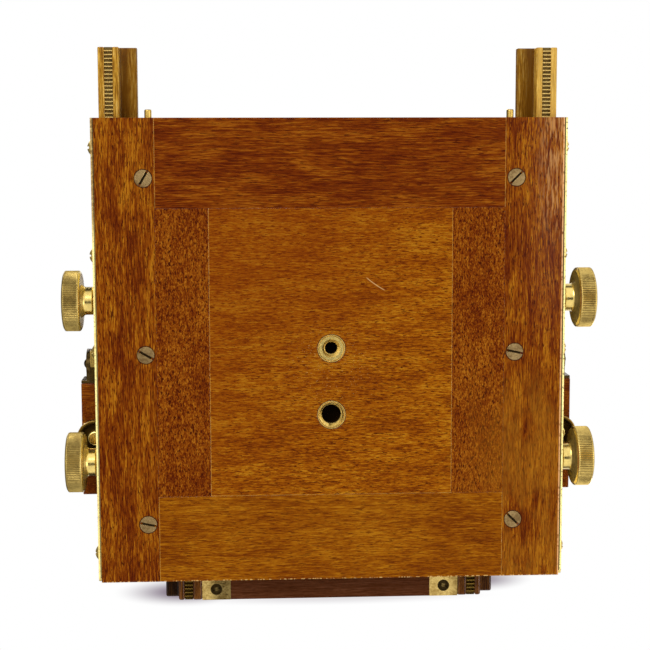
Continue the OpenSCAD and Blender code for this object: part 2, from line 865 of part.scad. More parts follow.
module corner_screw_at() {
    both_sides() for (back = [corner_screw_in, corner_d - 5])
        translate([corner_screw_x, rear_rail_end - back, rail_z]) children();
}
corner_head_d = 4;
corner_shank_d = 2.2;
corner_screw_l = 7;

module rear_crosspiece() {
    color("maroon") difference() {
        slab([-rear_rail_x0, rear_rail_x0], [rear_rail_end - crosspiece_d, rear_rail_end],
            [rail_z, rail_top]);
        both_sides() slab([rear_rail_x0 - corner_w, rear_rail_x0 + 1],
            [rear_rail_end - corner_d, rear_rail_end + 1], [rail_z - 1, rail_z + corner_t]);
        corner_screw_at() cylinder(d = corner_shank_d + 2 * shaft_gap, h = corner_screw_l + 0.5);
    }
}

// Brass plates let into the crosspiece, with their screws sunk 0.4 below the surface
module corner_plates() {
    sink = 0.4;
    color("gold") difference() {
        both_sides() slab([rear_rail_x0 - corner_w, rear_rail_x0],
            [rear_rail_end - corner_d, rear_rail_end], [rail_z, rail_z + corner_t]);
        corner_screw_at() {
            translate([0, 0, -seat_gap]) cylinder(d = corner_head_d, h = sink + seat_gap);
            translate([0, 0, sink]) sunk_screw(corner_head_d, corner_shank_d, corner_screw_l, shaft_gap);
        }
    }
    color("darkgoldenrod") corner_screw_at() translate([0, 0, sink]) difference() {
        sunk_screw(corner_head_d - 0.1, corner_shank_d, corner_screw_l - sink, 0);
        rotate([0, 0, 20]) translate([-corner_head_d, -0.3, -1]) cube([2 * corner_head_d, 0.6, 1.5]);
    }
}

platform_y0 = box_y0 - 9.5;
platform_half = rear_rail_x1 - 2;

module rear_platform() {
    color("saddlebrown") difference() {
        slab([-platform_half, platform_half], [platform_y0, rear_rail_end - 1], [platform_z, platform_top]);
        translate([0, clamp_y, platform_z - 1]) cylinder(r = pivot_r + seat_gap, h = platform_t + 2);
    }
}

module swing_pivot() {
    color("gold") translate([0, clamp_y, platform_z]) cylinder(r = pivot_r, h = swing_top - platform_z);
}

// Brass bar that turns on the platform and carries the rear standard's hinge ears
bar_arm_in = 25;
bar_side_in = 10.5;
bar_half = 10;
bar_tab_half = 5;

module rear_swing_bar() {
    arm_x = box_half - bar_arm_in;
    side_x = box_half - bar_side_in;
    color("gold") difference() {
        union() {
            translate([0, 0, swing_z0]) linear_extrude(swing_bar_t) difference() {
                union() {
                    translate([-side_x, clamp_y - bar_half]) square([2 * side_x, 2 * bar_half]);
                    both_sides() {
                        translate([clamp_x, clamp_y]) circle(r = tab_r);
                        translate([side_x - bar_tab_half, clamp_y - bar_tab_half])
                            square([clamp_x - side_x + bar_tab_half, 2 * bar_tab_half]);
                        translate([arm_x, hinge_y - ear_r]) square([side_x - arm_x, clamp_y - hinge_y]);
                        translate([arm_x, hinge_y - ear_r]) square([ear_x1 - arm_x, 2 * ear_r]);
                    }
                }
                both_sides() translate([clamp_x, clamp_y]) circle(r = clamp_stud_r + shaft_gap);
                translate([0, clamp_y]) circle(r = pivot_r + shaft_gap);
            }
            both_sides() ear([ear_x0, ear_x1], ear_r, hinge_y, hinge_z, swing_z0);
        }
        rod_x(hinge_shank_r + shaft_gap, [-box_half, box_half], hinge_y, hinge_z);
    }
}

// Clamp screw with a dished disc below and a stud that runs up into the bar
module clamp_knob() {
    disc_top = swing_z0 - brass_gap;
    rim_wall = 1.5;
    translate([clamp_x, clamp_y, disc_top - clamp_t]) {
        difference() {
            knurled_rim(clamp_d, clamp_t);
            translate([0, 0, -1]) difference() {
                cylinder(r = clamp_d / 2 - rim_wall, h = 1 + clamp_t - 1.2);
                cylinder(r = clamp_hub_r, h = clamp_t + 1);
            }
        }
        cylinder(r = clamp_stud_r, h = clamp_t + brass_gap + swing_bar_t - 0.2);
    }
}

module clamp_knob_left() {
    color("gold") mirror([1, 0, 0]) clamp_knob();
}

module clamp_knob_right() {
    color("gold") clamp_knob();
}

module rear_box_sides() {
    color("sienna") both_sides()
        slab([box_in, box_half], [box_y0, box_y1], [box_z0 + box_wall, box_top - box_wall]);
}

module rear_box_ends() {
    color("sienna") for (z = [box_z0, box_top - box_wall])
        slab([-box_half, box_half], [box_y0, box_y1], [z, z + box_wall]);
}

// Brass lugs on the front face of the box, outside the ears of the swing bar
module hinge_lugs() {
    foot_y0 = box_y0 - lug_foot_t;
    color("goldenrod") both_sides() difference() {
        union() {
            slab([box_in + 0.5, box_half], [foot_y0, box_y0], [box_z0 + 0.7, hinge_z + ear_r + 1]);
            rod_x(ear_r, [lug_x0, lug_x1], hinge_y, hinge_z);
            slab([lug_x0, lug_x1], [hinge_y, box_y0], [hinge_z - ear_r + 1, hinge_z + ear_r - 1]);
        }
        rod_x(hinge_shank_r + seat_gap, [lug_x0 - 1, box_half], hinge_y, hinge_z);
    }
}

module hinge_screws() {
    color("darkgoldenrod") both_sides() {
        rod_x(hinge_shank_r, [ear_x0 - 1, lug_x1], hinge_y, hinge_z);
        translate([lug_x1, hinge_y, hinge_z]) rotate([0, 90, 0]) rotate([0, 0, 90])
            round_head(hinge_head_d, hinge_head_h);
    }
}

// Square ring that joins the bellows to the inside of the box
module bellows_frame() {
    opening = bellows_rear_w - 2 * bellows_lip;
    color("dimgray") square_frame([2 * box_in, 2 * box_in], [opening, opening],
        [bellows_y1, bellows_y1 + bellows_frame_t], axis_z);
}

// Headed brass stud in the top edge of the back, which the catch hooks round
back_stud_r = 1.5;
back_stud_in = 6;
back_stud_y = (box_y1 + back_y1) / 2;
back_catch_z = box_top + brass_gap;
back_catch_travel = 5;

module back_frame() {
    color("peru") difference() {
        square_frame([back_w, back_w], [window_w, window_h], [box_y1, back_y1], axis_z);
        translate([0, back_stud_y, axis_z + back_half - back_stud_in - seat_gap])
            cylinder(r = back_stud_r + seat_gap, h = back_stud_in + 1);
    }
}

module back_stud() {
    bottom = axis_z + back_half - back_stud_in;
    head_z = back_catch_z + catch_t + brass_gap;
    color("gold") translate([0, back_stud_y, 0]) {
        translate([0, 0, bottom]) cylinder(r = back_stud_r, h = head_z - bottom);
        translate([0, 0, head_z]) cylinder(r = back_stud_r + 1.1, h = 0.9);
    }
}

// Sliding catch on top of the box, with a hooked slot that is open to the rear at one end
module back_catch() {
    slot_r = back_stud_r + brass_gap;
    plate_y = [box_y1 - 12, back_y1 - 0.8];
    color("gold") {
        difference() {
            slab([-9, 14], plate_y, [back_catch_z, back_catch_z + catch_t]);
            slab([-slot_r, slot_r + back_catch_travel], [back_stud_y - slot_r, back_stud_y + slot_r],
                [back_catch_z - 1, back_catch_z + catch_t + 1]);
            slab([back_catch_travel - slot_r, back_catch_travel + slot_r], [back_stud_y, back_y1 + 1],
                [back_catch_z - 1, back_catch_z + catch_t + 1]);
        }
        translate([back_catch_travel / 2, plate_y[0] + 5, back_catch_z + catch_t]) cylinder(r = 2.4, h = 3);
    }
}

// Wooden frame of the focusing screen, rebated for the glass at the front
module focus_frame() {
    glass_half_w = film_w / 2 + run_gap;
    glass_half_h = film_h / 2 + run_gap;
    color("peru") difference() {
        square_frame([focus_w, focus_h], [film_w - 8, film_h - 8], [focus_y0, focus_y1], axis_z);
        slab([-glass_half_w, glass_half_w], [focus_y0 - 1, focus_y0 + glass_rebate],
            [axis_z - glass_half_h, axis_z + glass_half_h]);
    }
}

module ground_glass() {
    y1 = focus_y0 + glass_rebate;
    color("whitesmoke") slab([-film_w / 2, film_w / 2], [y1 - glass_t, y1],
        [axis_z - film_h / 2, axis_z + film_h / 2]);
}

// Flat springs from the back over both ends of the focusing frame
module back_springs() {
    low = back_y1 + 0.02;
    high = focus_y1 + 0.1;
    ramp = focus_h / 2 + 2;
    foot = ramp + 7;
    half = [[foot + spring_foot, low], [foot, low], [ramp, high], [0, high + 0.6]];
    edge = concat(half, [for (i = [2 : -1 : 0]) [-half[i][0], half[i][1]]]);
    mid_x = focus_w / 2 - focus_rim / 2;
    color("gold") both_sides() translate([0, 0, axis_z])
        along_x([mid_x - spring_w / 2, mid_x + spring_w / 2]) polygon(concat(
            [for (p = edge) [p[1], p[0]]],
            [for (i = [len(edge) - 1 : -1 : 0]) [edge[i][1] + spring_t, edge[i][0]]]));
}

strap_y = box_y0 + box_d / 2;
post_l = 18;

// Leather strap that rises in one arch between its posts
module handle_strap() {
    steps = 18;
    half = handle_l / 2;
    function rise(x) = handle_h * (1 + cos(180 * x / half)) / 2;
    line = concat([[-half - post_l, 0]],
        [for (i = [0 : steps]) let (x = -half + i * handle_l / steps) [x, rise(x)]],
        [[half + post_l, 0]]);
    color("saddlebrown") translate([0, 0, box_top]) along_y([strap_y - handle_w / 2, strap_y + handle_w / 2])
        polygon(concat(line, [for (i = [len(line) - 1 : -1 : 0]) [line[i][0], line[i][1] + handle_t]]));
}

// Brass plates over the ends of the strap
module handle_posts() {
    x0 = handle_l / 2 + 4;
    color("gold") both_sides() {
        slab([x0, x0 + post_l - 6], [strap_y - handle_w / 2 - 1, strap_y + handle_w / 2 + 1],
            [box_top + handle_t, box_top + handle_t + 1.2]);
        for (side = [-1, 1]) translate([0, strap_y + side * (handle_w / 2 + 3), 0])
            slab([x0, x0 + post_l - 6], [-2.9, 2.9], [box_top, box_top + handle_t + 1.2]);
    }
}

// Pleated square tube from the lens frame back into the rear box
function fold_ring(i, half, y, inset) = let (r = half - (i % 2 == 1 ? fold_h : 0) - inset)
    [[-r, y, axis_z - r], [r, y, axis_z - r], [r, y, axis_z + r], [-r, y, axis_z + r]];

module bellows() {
    rings = 2 * folds;
    function half_at(i) = (bellows_front_w + (bellows_rear_w - bellows_front_w) * i / rings) / 2;
    function y_at(i) = bellows_y0 + (bellows_y1 - bellows_y0) * i / rings;
    points = concat(
        [for (i = [0 : rings]) each fold_ring(i, half_at(i), y_at(i), 0)],
        [for (i = [0 : rings]) each fold_ring(i, half_at(i), y_at(i), cloth_t)]);
    inner = 4 * (rings + 1);
    color("black") polyhedron(points, concat(
        [for (i = [0 : rings - 1], k = [0 : 3]) let (a = 4 * i + k, b = 4 * i + (k + 1) % 4) each
            [[a, b, a + 4], [b, b + 4, a + 4], [inner + a, inner + a + 4, inner + b],
                [inner + b, inner + a + 4, inner + b + 4]]],
        [for (k = [0 : 3]) let (a = k, b = (k + 1) % 4, c = 4 * rings + k, d = 4 * rings + (k + 1) % 4) each
            [[a, inner + a, b], [b, inner + a, inner + b], [c, d, inner + c], [d, inner + d, inner + c]]]));
}

base_stile_left();
base_stile_right();
base_board_front();
base_board_rear();
base_strips();
base_panel();
small_bush();
large_bush();
side_plates();
side_screws();
base_screws();
runners();
runner_caps();
stop_pins();
front_shaft();
front_knob_left();
front_knob_right();
rear_shaft();
rear_knob_left();
rear_knob_right();
front_rail_left();
front_rail_right();
front_racks();
front_crossboard();
front_bracket();
front_yoke();
tilt_knob_left();
tilt_knob_right();
lens_frame();
lens_board();
lens_barrel();
lens_glass();
aperture_ring();
board_catch();
rise_knob_left();
rise_knob_right();
rear_rail_left();
rear_rail_right();
rear_racks();
rear_crosspiece();
corner_plates();
rear_platform();
swing_pivot();
rear_swing_bar();
clamp_knob_left();
clamp_knob_right();
rear_box_sides();
rear_box_ends();
hinge_lugs();
hinge_screws();
bellows_frame();
back_frame();
back_stud();
back_catch();
focus_frame();
ground_glass();
back_springs();
handle_strap();
handle_posts();
bellows();
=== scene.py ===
# Wooden flat-bed field camera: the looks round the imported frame.
import json
import math
from functools import partialmethod

import bmesh
import bpy
import numpy as np
from mathutils import Matrix, Vector

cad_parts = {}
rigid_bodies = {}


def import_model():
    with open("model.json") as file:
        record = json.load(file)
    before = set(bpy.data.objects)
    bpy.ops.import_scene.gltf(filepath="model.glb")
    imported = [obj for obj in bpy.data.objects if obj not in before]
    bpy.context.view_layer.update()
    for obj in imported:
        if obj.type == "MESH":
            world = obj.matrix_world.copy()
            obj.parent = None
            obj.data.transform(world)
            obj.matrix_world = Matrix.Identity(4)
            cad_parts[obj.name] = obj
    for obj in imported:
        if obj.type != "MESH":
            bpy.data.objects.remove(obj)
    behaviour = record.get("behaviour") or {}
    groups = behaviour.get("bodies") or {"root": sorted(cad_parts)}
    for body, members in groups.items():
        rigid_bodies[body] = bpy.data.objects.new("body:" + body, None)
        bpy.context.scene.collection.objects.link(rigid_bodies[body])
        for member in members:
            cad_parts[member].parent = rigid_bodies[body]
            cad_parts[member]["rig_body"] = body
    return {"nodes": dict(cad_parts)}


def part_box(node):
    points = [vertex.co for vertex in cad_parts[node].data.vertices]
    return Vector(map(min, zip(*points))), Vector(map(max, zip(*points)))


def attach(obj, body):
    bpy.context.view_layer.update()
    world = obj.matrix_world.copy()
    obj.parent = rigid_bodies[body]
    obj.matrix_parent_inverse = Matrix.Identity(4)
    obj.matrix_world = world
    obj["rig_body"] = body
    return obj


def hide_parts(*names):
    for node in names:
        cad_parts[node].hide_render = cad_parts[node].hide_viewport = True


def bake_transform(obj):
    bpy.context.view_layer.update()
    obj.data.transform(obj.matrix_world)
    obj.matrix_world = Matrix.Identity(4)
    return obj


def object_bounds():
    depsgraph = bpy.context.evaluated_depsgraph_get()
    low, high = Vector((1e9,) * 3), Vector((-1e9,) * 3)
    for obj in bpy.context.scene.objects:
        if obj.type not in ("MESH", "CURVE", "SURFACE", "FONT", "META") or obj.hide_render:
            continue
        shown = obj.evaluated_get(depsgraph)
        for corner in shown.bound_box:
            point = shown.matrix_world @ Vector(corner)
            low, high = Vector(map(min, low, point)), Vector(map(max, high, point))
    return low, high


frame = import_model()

cadLow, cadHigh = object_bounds()
mm = 0.001
fullTurn = 2 * math.pi
bothWays = (-1, 1)
scene = bpy.context.scene


def spanMm(node):
    # the lowest and the highest corner of the node's box, in mm
    low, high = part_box(node)
    return np.array(low) / mm, np.array(high) / mm


def middleMm(node):
    low, high = spanMm(node)
    return (low + high) / 2


def footMm(node, axis, sign=1):
    # the middle of the face where the node starts along an axis, or where it ends if sign is -1
    foot = middleMm(node)
    foot[axis] = spanMm(node)[0 if sign > 0 else 1][axis]
    return foot


def tone(red, green, blue):
    # screen colour 0 to 255 to the linear colour that shaders use
    levels = [v / 255 for v in (red, green, blue)]
    return tuple(v / 12.92 if v <= 0.04045 else ((v + 0.055) / 1.055) ** 2.4 for v in levels) + (1.0,)


def dimmed(colour, factor):
    # a darker colour of the same hue
    return tuple(c * factor for c in colour[:3]) + (1.0,)


# Camera: below the base and a little ahead of it, as the photograph was taken
shot = {
    "place": (-35.3 * mm, -78.0 * mm, -604.1 * mm),
    "target": (-2.6 * mm, -9.7 * mm, 0.0),
    "roll": 0.0026,
    "lens": 82.5,
    "sensor": 36.0,
}


def makeCamera():
    data = bpy.data.cameras.new("shot")
    data.lens, data.sensor_width = shot["lens"], shot["sensor"]
    data.clip_start, data.clip_end = 0.01, 50
    camera = bpy.data.objects.new("shot", data)
    scene.collection.objects.link(camera)
    back = (Vector(shot["place"]) - Vector(shot["target"])).normalized()
    right = Vector((shot["roll"], -1, 0)).cross(back).normalized()
    turn = Matrix((right, back.cross(right), back)).transposed()
    camera.matrix_world = Matrix.Translation(shot["place"]) @ turn.to_4x4()
    scene.camera = camera


makeCamera()
scene.view_settings.view_transform = "Standard"
print("camera placed")


class Wire:
    # one output socket; arithmetic on it adds Math nodes, so shader maths reads as Python
    def __init__(self, tree, socket):
        self.tree, self.socket = tree, socket

    def calc(self, operation, *others, kind="ShaderNodeMath"):
        return self.tree.node(kind, {"operation": operation}, dict(enumerate((self,) + others)))

    def __rsub__(self, other):
        return self.tree.node("ShaderNodeMath", {"operation": "SUBTRACT"}, {0: other, 1: self})

    vector = partialmethod(calc, kind="ShaderNodeVectorMath")
    __add__ = __radd__ = partialmethod(calc, "ADD")
    __mul__ = __rmul__ = partialmethod(calc, "MULTIPLY")
    __sub__ = partialmethod(calc, "SUBTRACT")
    __truediv__ = partialmethod(calc, "DIVIDE")
    __gt__ = partialmethod(calc, "GREATER_THAN")
    __abs__ = partialmethod(calc, "ABSOLUTE")
    # either of two masks, whichever is stronger
    __or__ = partialmethod(calc, "MAXIMUM")

    def rise(self, low, high):
        # 0 below low, 1 above high, smooth between
        return self.tree.node("ShaderNodeMapRange", {"interpolation_type": "SMOOTHSTEP"},
                              {"Value": self, "From Min": low, "From Max": high})

    def fall(self, low, high):
        return 1 - self.rise(low, high)

    def scaled(self, *factors):
        return self.vector("MULTIPLY", factors if len(factors) == 3 else factors * 3)

    def parts(self):
        split = self.tree.node("ShaderNodeSeparateXYZ", {}, {0: self})
        return [Wire(self.tree, output) for output in split.socket.node.outputs]


class Tree:
    # the node tree of a material or of the world
    def __init__(self, owner):
        self.owner = owner
        owner.use_nodes = True
        self.nodes, self.links = owner.node_tree.nodes, owner.node_tree.links
        self.nodes.clear()

    def node(self, kind, settings, sockets, output=0):
        # settings first, then values or links for the sockets, by name or by number
        made = self.nodes.new(kind)
        for key, value in settings.items():
            if key == "stops":
                self.setStops(made.color_ramp.elements, value)
            else:
                setattr(made, key, value)
        for key, value in sockets.items():
            if isinstance(value, Wire):
                self.links.new(value.socket, made.inputs[key])
            else:
                made.inputs[key].default_value = value
        return Wire(self, made.outputs[output] if made.outputs else None)

    def setStops(self, elements, stops):
        while len(elements) < len(stops):
            elements.new(0.5)
        for element, (position, colour) in zip(elements, stops):
            element.position, element.color = position, colour

    def place(self):
        # object coordinates in millimetres
        return self.node("ShaderNodeTexCoord", {}, {}, "Object").scaled(1000)

    def noise(self, where, detail, roughness, output=0):
        return self.node("ShaderNodeTexNoise", {}, {"Vector": where, "Scale": 1.0, "Detail": detail,
                                                    "Roughness": roughness}, output)

    def mix(self, factor, first, second):
        # colours sit on sockets 6 and 7 of a Mix node and come out of socket 2
        return self.node("ShaderNodeMix", {"data_type": "RGBA"}, {0: factor, 6: first, 7: second}, 2)

    def bump(self, height, strength, distance=0.2 * mm):
        return self.node("ShaderNodeBump", {}, {"Height": height, "Strength": strength, "Distance": distance})

    def facing(self):
        # 1 where the camera itself sees the front of a face
        seen = self.node("ShaderNodeLightPath", {}, {}, "Is Camera Ray")
        return seen * (1 - self.node("ShaderNodeNewGeometry", {}, {}, "Backfacing"))

    def close(self, sockets):
        # the surface shader and the output
        shader = self.node("ShaderNodeBsdfPrincipled", {}, sockets)
        self.node("ShaderNodeOutputMaterial", {}, {"Surface": shader})
        return self.owner


def newFinish(name):
    return Tree(bpy.data.materials.new(name))


def distance(u, v):
    # how far the point (u, v) lies from (0, 0)
    return (u * u + v * v).calc("SQRT")


def patchy(x, y, z, across, along, low, high):
    # spots of noise, `across` mm in x and `along` mm in y
    spot = x.tree.node("ShaderNodeCombineXYZ", {}, {0: x / across, 1: y / along, 2: z})
    return x.tree.noise(spot, 2.0, 0.6).rise(low, high)


# What sets one wood from another: grain axis, streaks (mm across, mm along), dark pores (mm across, mm along,
# amount), mottling, place in the noise, waves (mm) and colours from dark to light
woodTraits = ("grain", "streak", "run", "pores", "mottle", "seed", "wave", "tones")
woodTable = {
    "stile": ("y", 0.62, 16, (0.36, 3.0, 0.95), 0.5, 3.0, 1.6,
              [(82, 24, 0), (108, 44, 0), (125, 59, 1), (141, 74, 4), (172, 108, 16)]),
    "frontBoard": ("x", 0.62, 19, (0.34, 4.5, 0.85), 0.6, 17.0, 3.0,
                   [(80, 22, 0), (102, 38, 0), (114, 48, 0), (124, 57, 1), (150, 84, 10)]),
    "rearBoard": ("x", 0.62, 13, (0.36, 3.2, 0.8), 0.5, 23.0, 2.4,
                  [(104, 44, 0), (129, 66, 0), (139, 75, 1), (148, 84, 3), (168, 106, 12)]),
    "strip": ("y", 0.85, 2.7, (0.55, 1.7, 1.0), 0.34, 29.0, 0.8,
              [(78, 20, 0), (106, 42, 0), (123, 57, 1), (137, 71, 5), (166, 100, 18)]),
    "panel": ("x", 0.6, 8, (0.36, 2.4, 1.0), 0.5, 41.0, 1.6,
              [(100, 40, 0), (134, 66, 0), (148, 79, 1), (158, 90, 3), (180, 118, 18)]),
    "rail": ("y", 0.6, 20, (0.4, 2.4, 0.4), 0.4, 53.0, 0.8,
             [(100, 58, 2), (154, 106, 22), (182, 131, 36), (204, 156, 54), (236, 194, 100)]),
    "rearRail": ("y", 0.7, 16, (0.4, 2.6, 0.4), 0.3, 61.0, 0.8,
                 [(52, 22, 2), (78, 42, 12), (96, 56, 18), (108, 64, 22), (134, 86, 34)]),
    "dark": ("x", 0.8, 18, (0.4, 2.6, 0.3), 0.3, 71.0, 0.8,
             [(64, 28, 2), (78, 38, 13), (84, 44, 19), (88, 47, 23), (100, 58, 34)]),
    "body": ("x", 0.8, 16, (0.42, 2.6, 0.5), 0.42, 83.0, 1.6,
             [(84, 28, 0), (106, 46, 2), (118, 56, 4), (135, 71, 8), (160, 94, 20)]),
}
woods = {name: dict(zip(woodTraits, traits)) for name, traits in woodTable.items()}
for name, seed in (("bodyUpright", 97.0), ("lensBoard", 113.0), ("back", 131.0), ("focus", 149.0)):
    woods[name] = dict(woods["body"], grain="z", seed=seed)
woods["lensBoard"]["tones"] = [(92, 38, 6), (122, 62, 12), (142, 78, 18), (158, 94, 26), (186, 122, 46)]


def grainTones(tree, where, look, grain):
    # long streaks, fine fibres, short dark pores and broad mottling, read off a colour ramp
    def layer(across, along, shift, detail, roughness, output=0):
        # one period of this noise is `across` mm over the grain and `along` mm with it
        periods = where.scaled(*[1 / (along if axis == grain else across) for axis in "xyz"])
        shift += look["seed"]
        moved = periods.vector("ADD", (shift, shift * 1.7, shift * 0.6))
        return tree.noise(moved, detail, roughness, output)

    drift = layer(26, 80, 0, 2.0, 0.5, "Color")
    where = where.vector("ADD", drift.vector("SUBTRACT", (0.5, 0.5, 0.5)).scaled(2 * look["wave"]))
    streak = layer(look["streak"], look["run"], 5, 3.0, 0.7)
    fibre = layer(0.46, look["run"] * 0.35, 9, 2.0, 0.75)
    mottle = layer(7, 30, 13, 3.0, 0.6)
    poreWidth, poreLength, poreAmount = look["pores"]
    pores = layer(poreWidth, poreLength, 21, 2.0, 0.6).rise(0.56, 0.62)
    level = (streak - 0.5) * 1.7 + (fibre - 0.5) * 1.9 + (mottle - 0.5) * (2.6 * look["mottle"]) + 0.5
    colours = [tone(*rgb) for rgb in look["tones"]]
    stops = list(zip((0.04, 0.34, 0.5, 0.66, 0.96), colours))
    base = tree.node("ShaderNodeValToRGB", {"stops": stops}, {"Fac": level})
    return tree.mix(pores * poreAmount, base, dimmed(colours[0], 0.7)), level, pores


def woodFinish(name, wood, tints=(), secondGrain=None):
    # tints are (mask, colour), laid over in turn; secondGrain is (mask, grain) for the other board of a joint
    tree, look = newFinish(name), woods[wood]
    where = tree.place()
    base, level, pores = grainTones(tree, where, look, look["grain"])
    if secondGrain is not None:
        mask, grain = secondGrain
        base = tree.mix(mask(*where.parts()), base, grainTones(tree, where, look, grain)[0])
    for mask, colour in tints:
        base = tree.mix(mask(*where.parts()), base, tone(*colour))
    return tree.close({"Base Color": base, "Roughness": level * 0.1 + pores * 0.15 + 0.45,
                       "Normal": tree.bump(level * 0.5 - pores, 0.2), "Coat Weight": 0.3,
                       "Coat Roughness": 0.08, "Specular IOR Level": 0.03})


# Brass by age: clean and tarnished colour, amount of tarnish, roughness, grit and a second colour, for
# polished parts, painted highlights and one dull patch
brassTraits = ("base", "tarnish", "amount", "rough", "grit", "polished")
brassTable = {
    "plain": ((200, 166, 86), (128, 100, 44), 0.5, 0.22, 1.0),
    "bright": ((240, 206, 124), (178, 138, 66), 0.5, 0.24, 1.4),
    "plate": ((255, 240, 160), (206, 170, 96), 0.5, 0.5, 1.6, (150, 116, 68)),
    "corner": ((216, 186, 112), (140, 108, 48), 0.8, 0.38, 2.2),
    "knob": ((218, 187, 106), (134, 108, 55), 0.6, 0.15, 0.4, (240, 214, 128)),
    "sideScrew": ((226, 196, 110), (140, 112, 52), 0.6, 0.45, 1.0),
    # painted shade: clamp brass is a darker copy of brass, for the clamp discs and the rear racks
    "clamp": ((150, 118, 52), (84, 60, 22), 0.7, 0.2, 1.0, (240, 212, 128)),
    "screw": ((166, 138, 92), (92, 68, 38), 0.8, 0.32, 1.8),
    "bush": ((238, 208, 124), (170, 140, 64), 0.7, 0.27, 1.8),
    # painted shade: lug brass is a much darker copy of brass, for the lugs and hinge screws beside the base
    "lug": ((88, 70, 38), (44, 32, 16), 0.7, 0.26, 1.0),
    "spring": ((206, 168, 92), (150, 114, 52), 0.4, 0.2, 0.8),
    "lens": ((216, 176, 98), (158, 120, 56), 0.35, 0.17, 0.6),
    "blackened": ((92, 92, 96), (52, 50, 50), 0.5, 0.35, 0.6),
}
brasses = {name: dict(zip(brassTraits, traits)) for name, traits in brassTable.items()}
# the dark tone serves both real dirt and painted shade
pitTone, dirtAndShadeTone = tone(70, 48, 20), tone(32, 20, 6)


def brassFinish(name, age, stainAndShade=None, secondTone=None):
    # cloudy tarnish, pits and scratches; the first mask gives dirt and painted shade, the second where the
    # second colour goes (polish, painted highlights, a dull patch)
    tree, look = newFinish(name), brasses[age]
    where, grit = tree.place(), look["grit"]
    cloud = tree.noise(where.scaled(0.12), 4.0, 0.65)
    spots = tree.noise(where.scaled(0.9), 2.0, 0.6)
    pits = tree.noise(where.scaled(3.2), 1.0, 0.5).rise(0.62, 0.74)
    scratches = tree.noise(where.scaled(4.0, 0.25, 4.0), 1.0, 0.5).rise(0.6, 0.66)
    scratches = scratches + tree.noise(where.scaled(0.3, 5.0, 5.0), 1.0, 0.5).rise(0.62, 0.67)
    wear = (cloud * 0.65 + spots * 0.35).rise(0.4, 0.62) * look["amount"]
    base = tree.mix(wear, tone(*look["base"]), tone(*look["tarnish"]))
    base = tree.mix(pits * min(0.35, grit * 0.4), base, pitTone)
    if secondTone is not None:
        base = tree.mix(secondTone(*where.parts()), base, tone(*look["polished"]))
    normal = tree.bump(cloud * 0.4 + scratches * (0.2 * grit) - pits * min(0.5, grit * 0.6), 0.12)
    rough = wear * 0.14 + pits * 0.2 + scratches * 0.05 + look["rough"]
    metal = 1.0
    if stainAndShade is not None:
        dirtAndShade = stainAndShade(*where.parts())
        base, rough, metal = tree.mix(dirtAndShade, base, dirtAndShadeTone), rough + dirtAndShade * 0.3, 1 - dirtAndShade
    return tree.close({"Base Color": base, "Metallic": metal, "Roughness": rough, "Normal": normal,
                       "Specular IOR Level": 0.0})


def clothFinish(name, base, crease, scale, rough):
    # grained cloth or leather: pebbles from cells, broad fading from noise
    tree = newFinish(name)
    where = tree.place()
    pebble = tree.node("ShaderNodeTexVoronoi", {"feature": "DISTANCE_TO_EDGE"},
                       {"Vector": where, "Scale": scale}).rise(0.0, 0.22)
    fade = tree.noise(where.scaled(0.05), 3.0, 0.6)
    fine = tree.noise(where.scaled(2.4), 2.0, 0.6)
    colour = tree.mix(fade.rise(0.35, 0.7) * 0.7, tone(*base), tone(*crease))
    colour = tree.mix((1 - pebble) * 0.5, colour, dimmed(tone(*base), 0.5))
    return tree.close({"Base Color": colour, "Roughness": fade * 0.15 + rough,
                       "Normal": tree.bump(pebble * 0.7 + fine * 0.3, 0.45),
                       "Sheen Weight": 0.15, "Specular IOR Level": 0.4})


def glassFinish():
    # clear glass with a bluish coating and faint smears
    tree = newFinish("coatedGlass")
    smear = tree.noise(tree.place().scaled(0.08), 3.0, 0.6)
    return tree.close({"Base Color": (0.93, 0.97, 1.0, 1.0), "Roughness": smear * 0.04 + 0.02, "IOR": 1.52,
                       "Transmission Weight": 1.0, "Specular IOR Level": 0.5})


# New geometry: a form is (points in mm, faces), and most are surfaces over a grid of rows and columns
def gridFaces(rows, columns, closed=True):
    # quads between neighbouring rows; the last column meets the first where closed
    across = columns if closed else columns - 1
    row, column = np.meshgrid(np.arange(rows - 1), np.arange(across), indexing="ij")
    here, beside = row * columns + column, row * columns + (column + 1) % columns
    corners = (here, beside, beside + columns, here + columns)
    return np.stack([corner.ravel() for corner in corners], 1).tolist()


def stripFaces(columns):
    # a bar of four rows, a fifth that lies on the first, and two ends
    ends = [[row * columns for row in range(4)], [row * columns + columns - 1 for row in (3, 2, 1, 0)]]
    return gridFaces(5, columns, False) + ends


def mergeTwins(mesh, gap, flatAngle=None):
    # joins points closer than the gap, then turns the faces outwards or, given an angle, joins flat ones
    form = bmesh.new()
    form.from_mesh(mesh)
    bmesh.ops.remove_doubles(form, verts=form.verts, dist=gap)
    if flatAngle is None:
        bmesh.ops.recalc_face_normals(form, faces=form.faces)
    else:
        bmesh.ops.dissolve_limit(form, angle_limit=flatAngle, verts=form.verts, edges=form.edges)
    form.to_mesh(mesh)
    form.free()


def dress(name, mesh, finish, body, sharpAngle, stands):
    # gives a mesh its object, finish and shading, the body it rides and the nodes it stands for
    piece = bpy.data.objects.new(name, mesh)
    scene.collection.objects.link(piece)
    mesh.materials.clear()
    mesh.materials.append(finish)
    mesh.polygons.foreach_set("use_smooth", [True] * len(mesh.polygons))
    mesh.set_sharp_from_angle(angle=math.radians(sharpAngle))
    if body is not None:
        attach(piece, body)
    if stands:
        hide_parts(*stands)
    return piece


def makePiece(name, form, finish, body, sharpAngle, stands=()):
    # a new piece from a form
    points, faces = form
    mesh = bpy.data.meshes.new(name)
    mesh.from_pydata((points * mm).tolist(), [], faces)
    mergeTwins(mesh, 1e-7)
    return dress(name, mesh, finish, body, sharpAngle, stands)


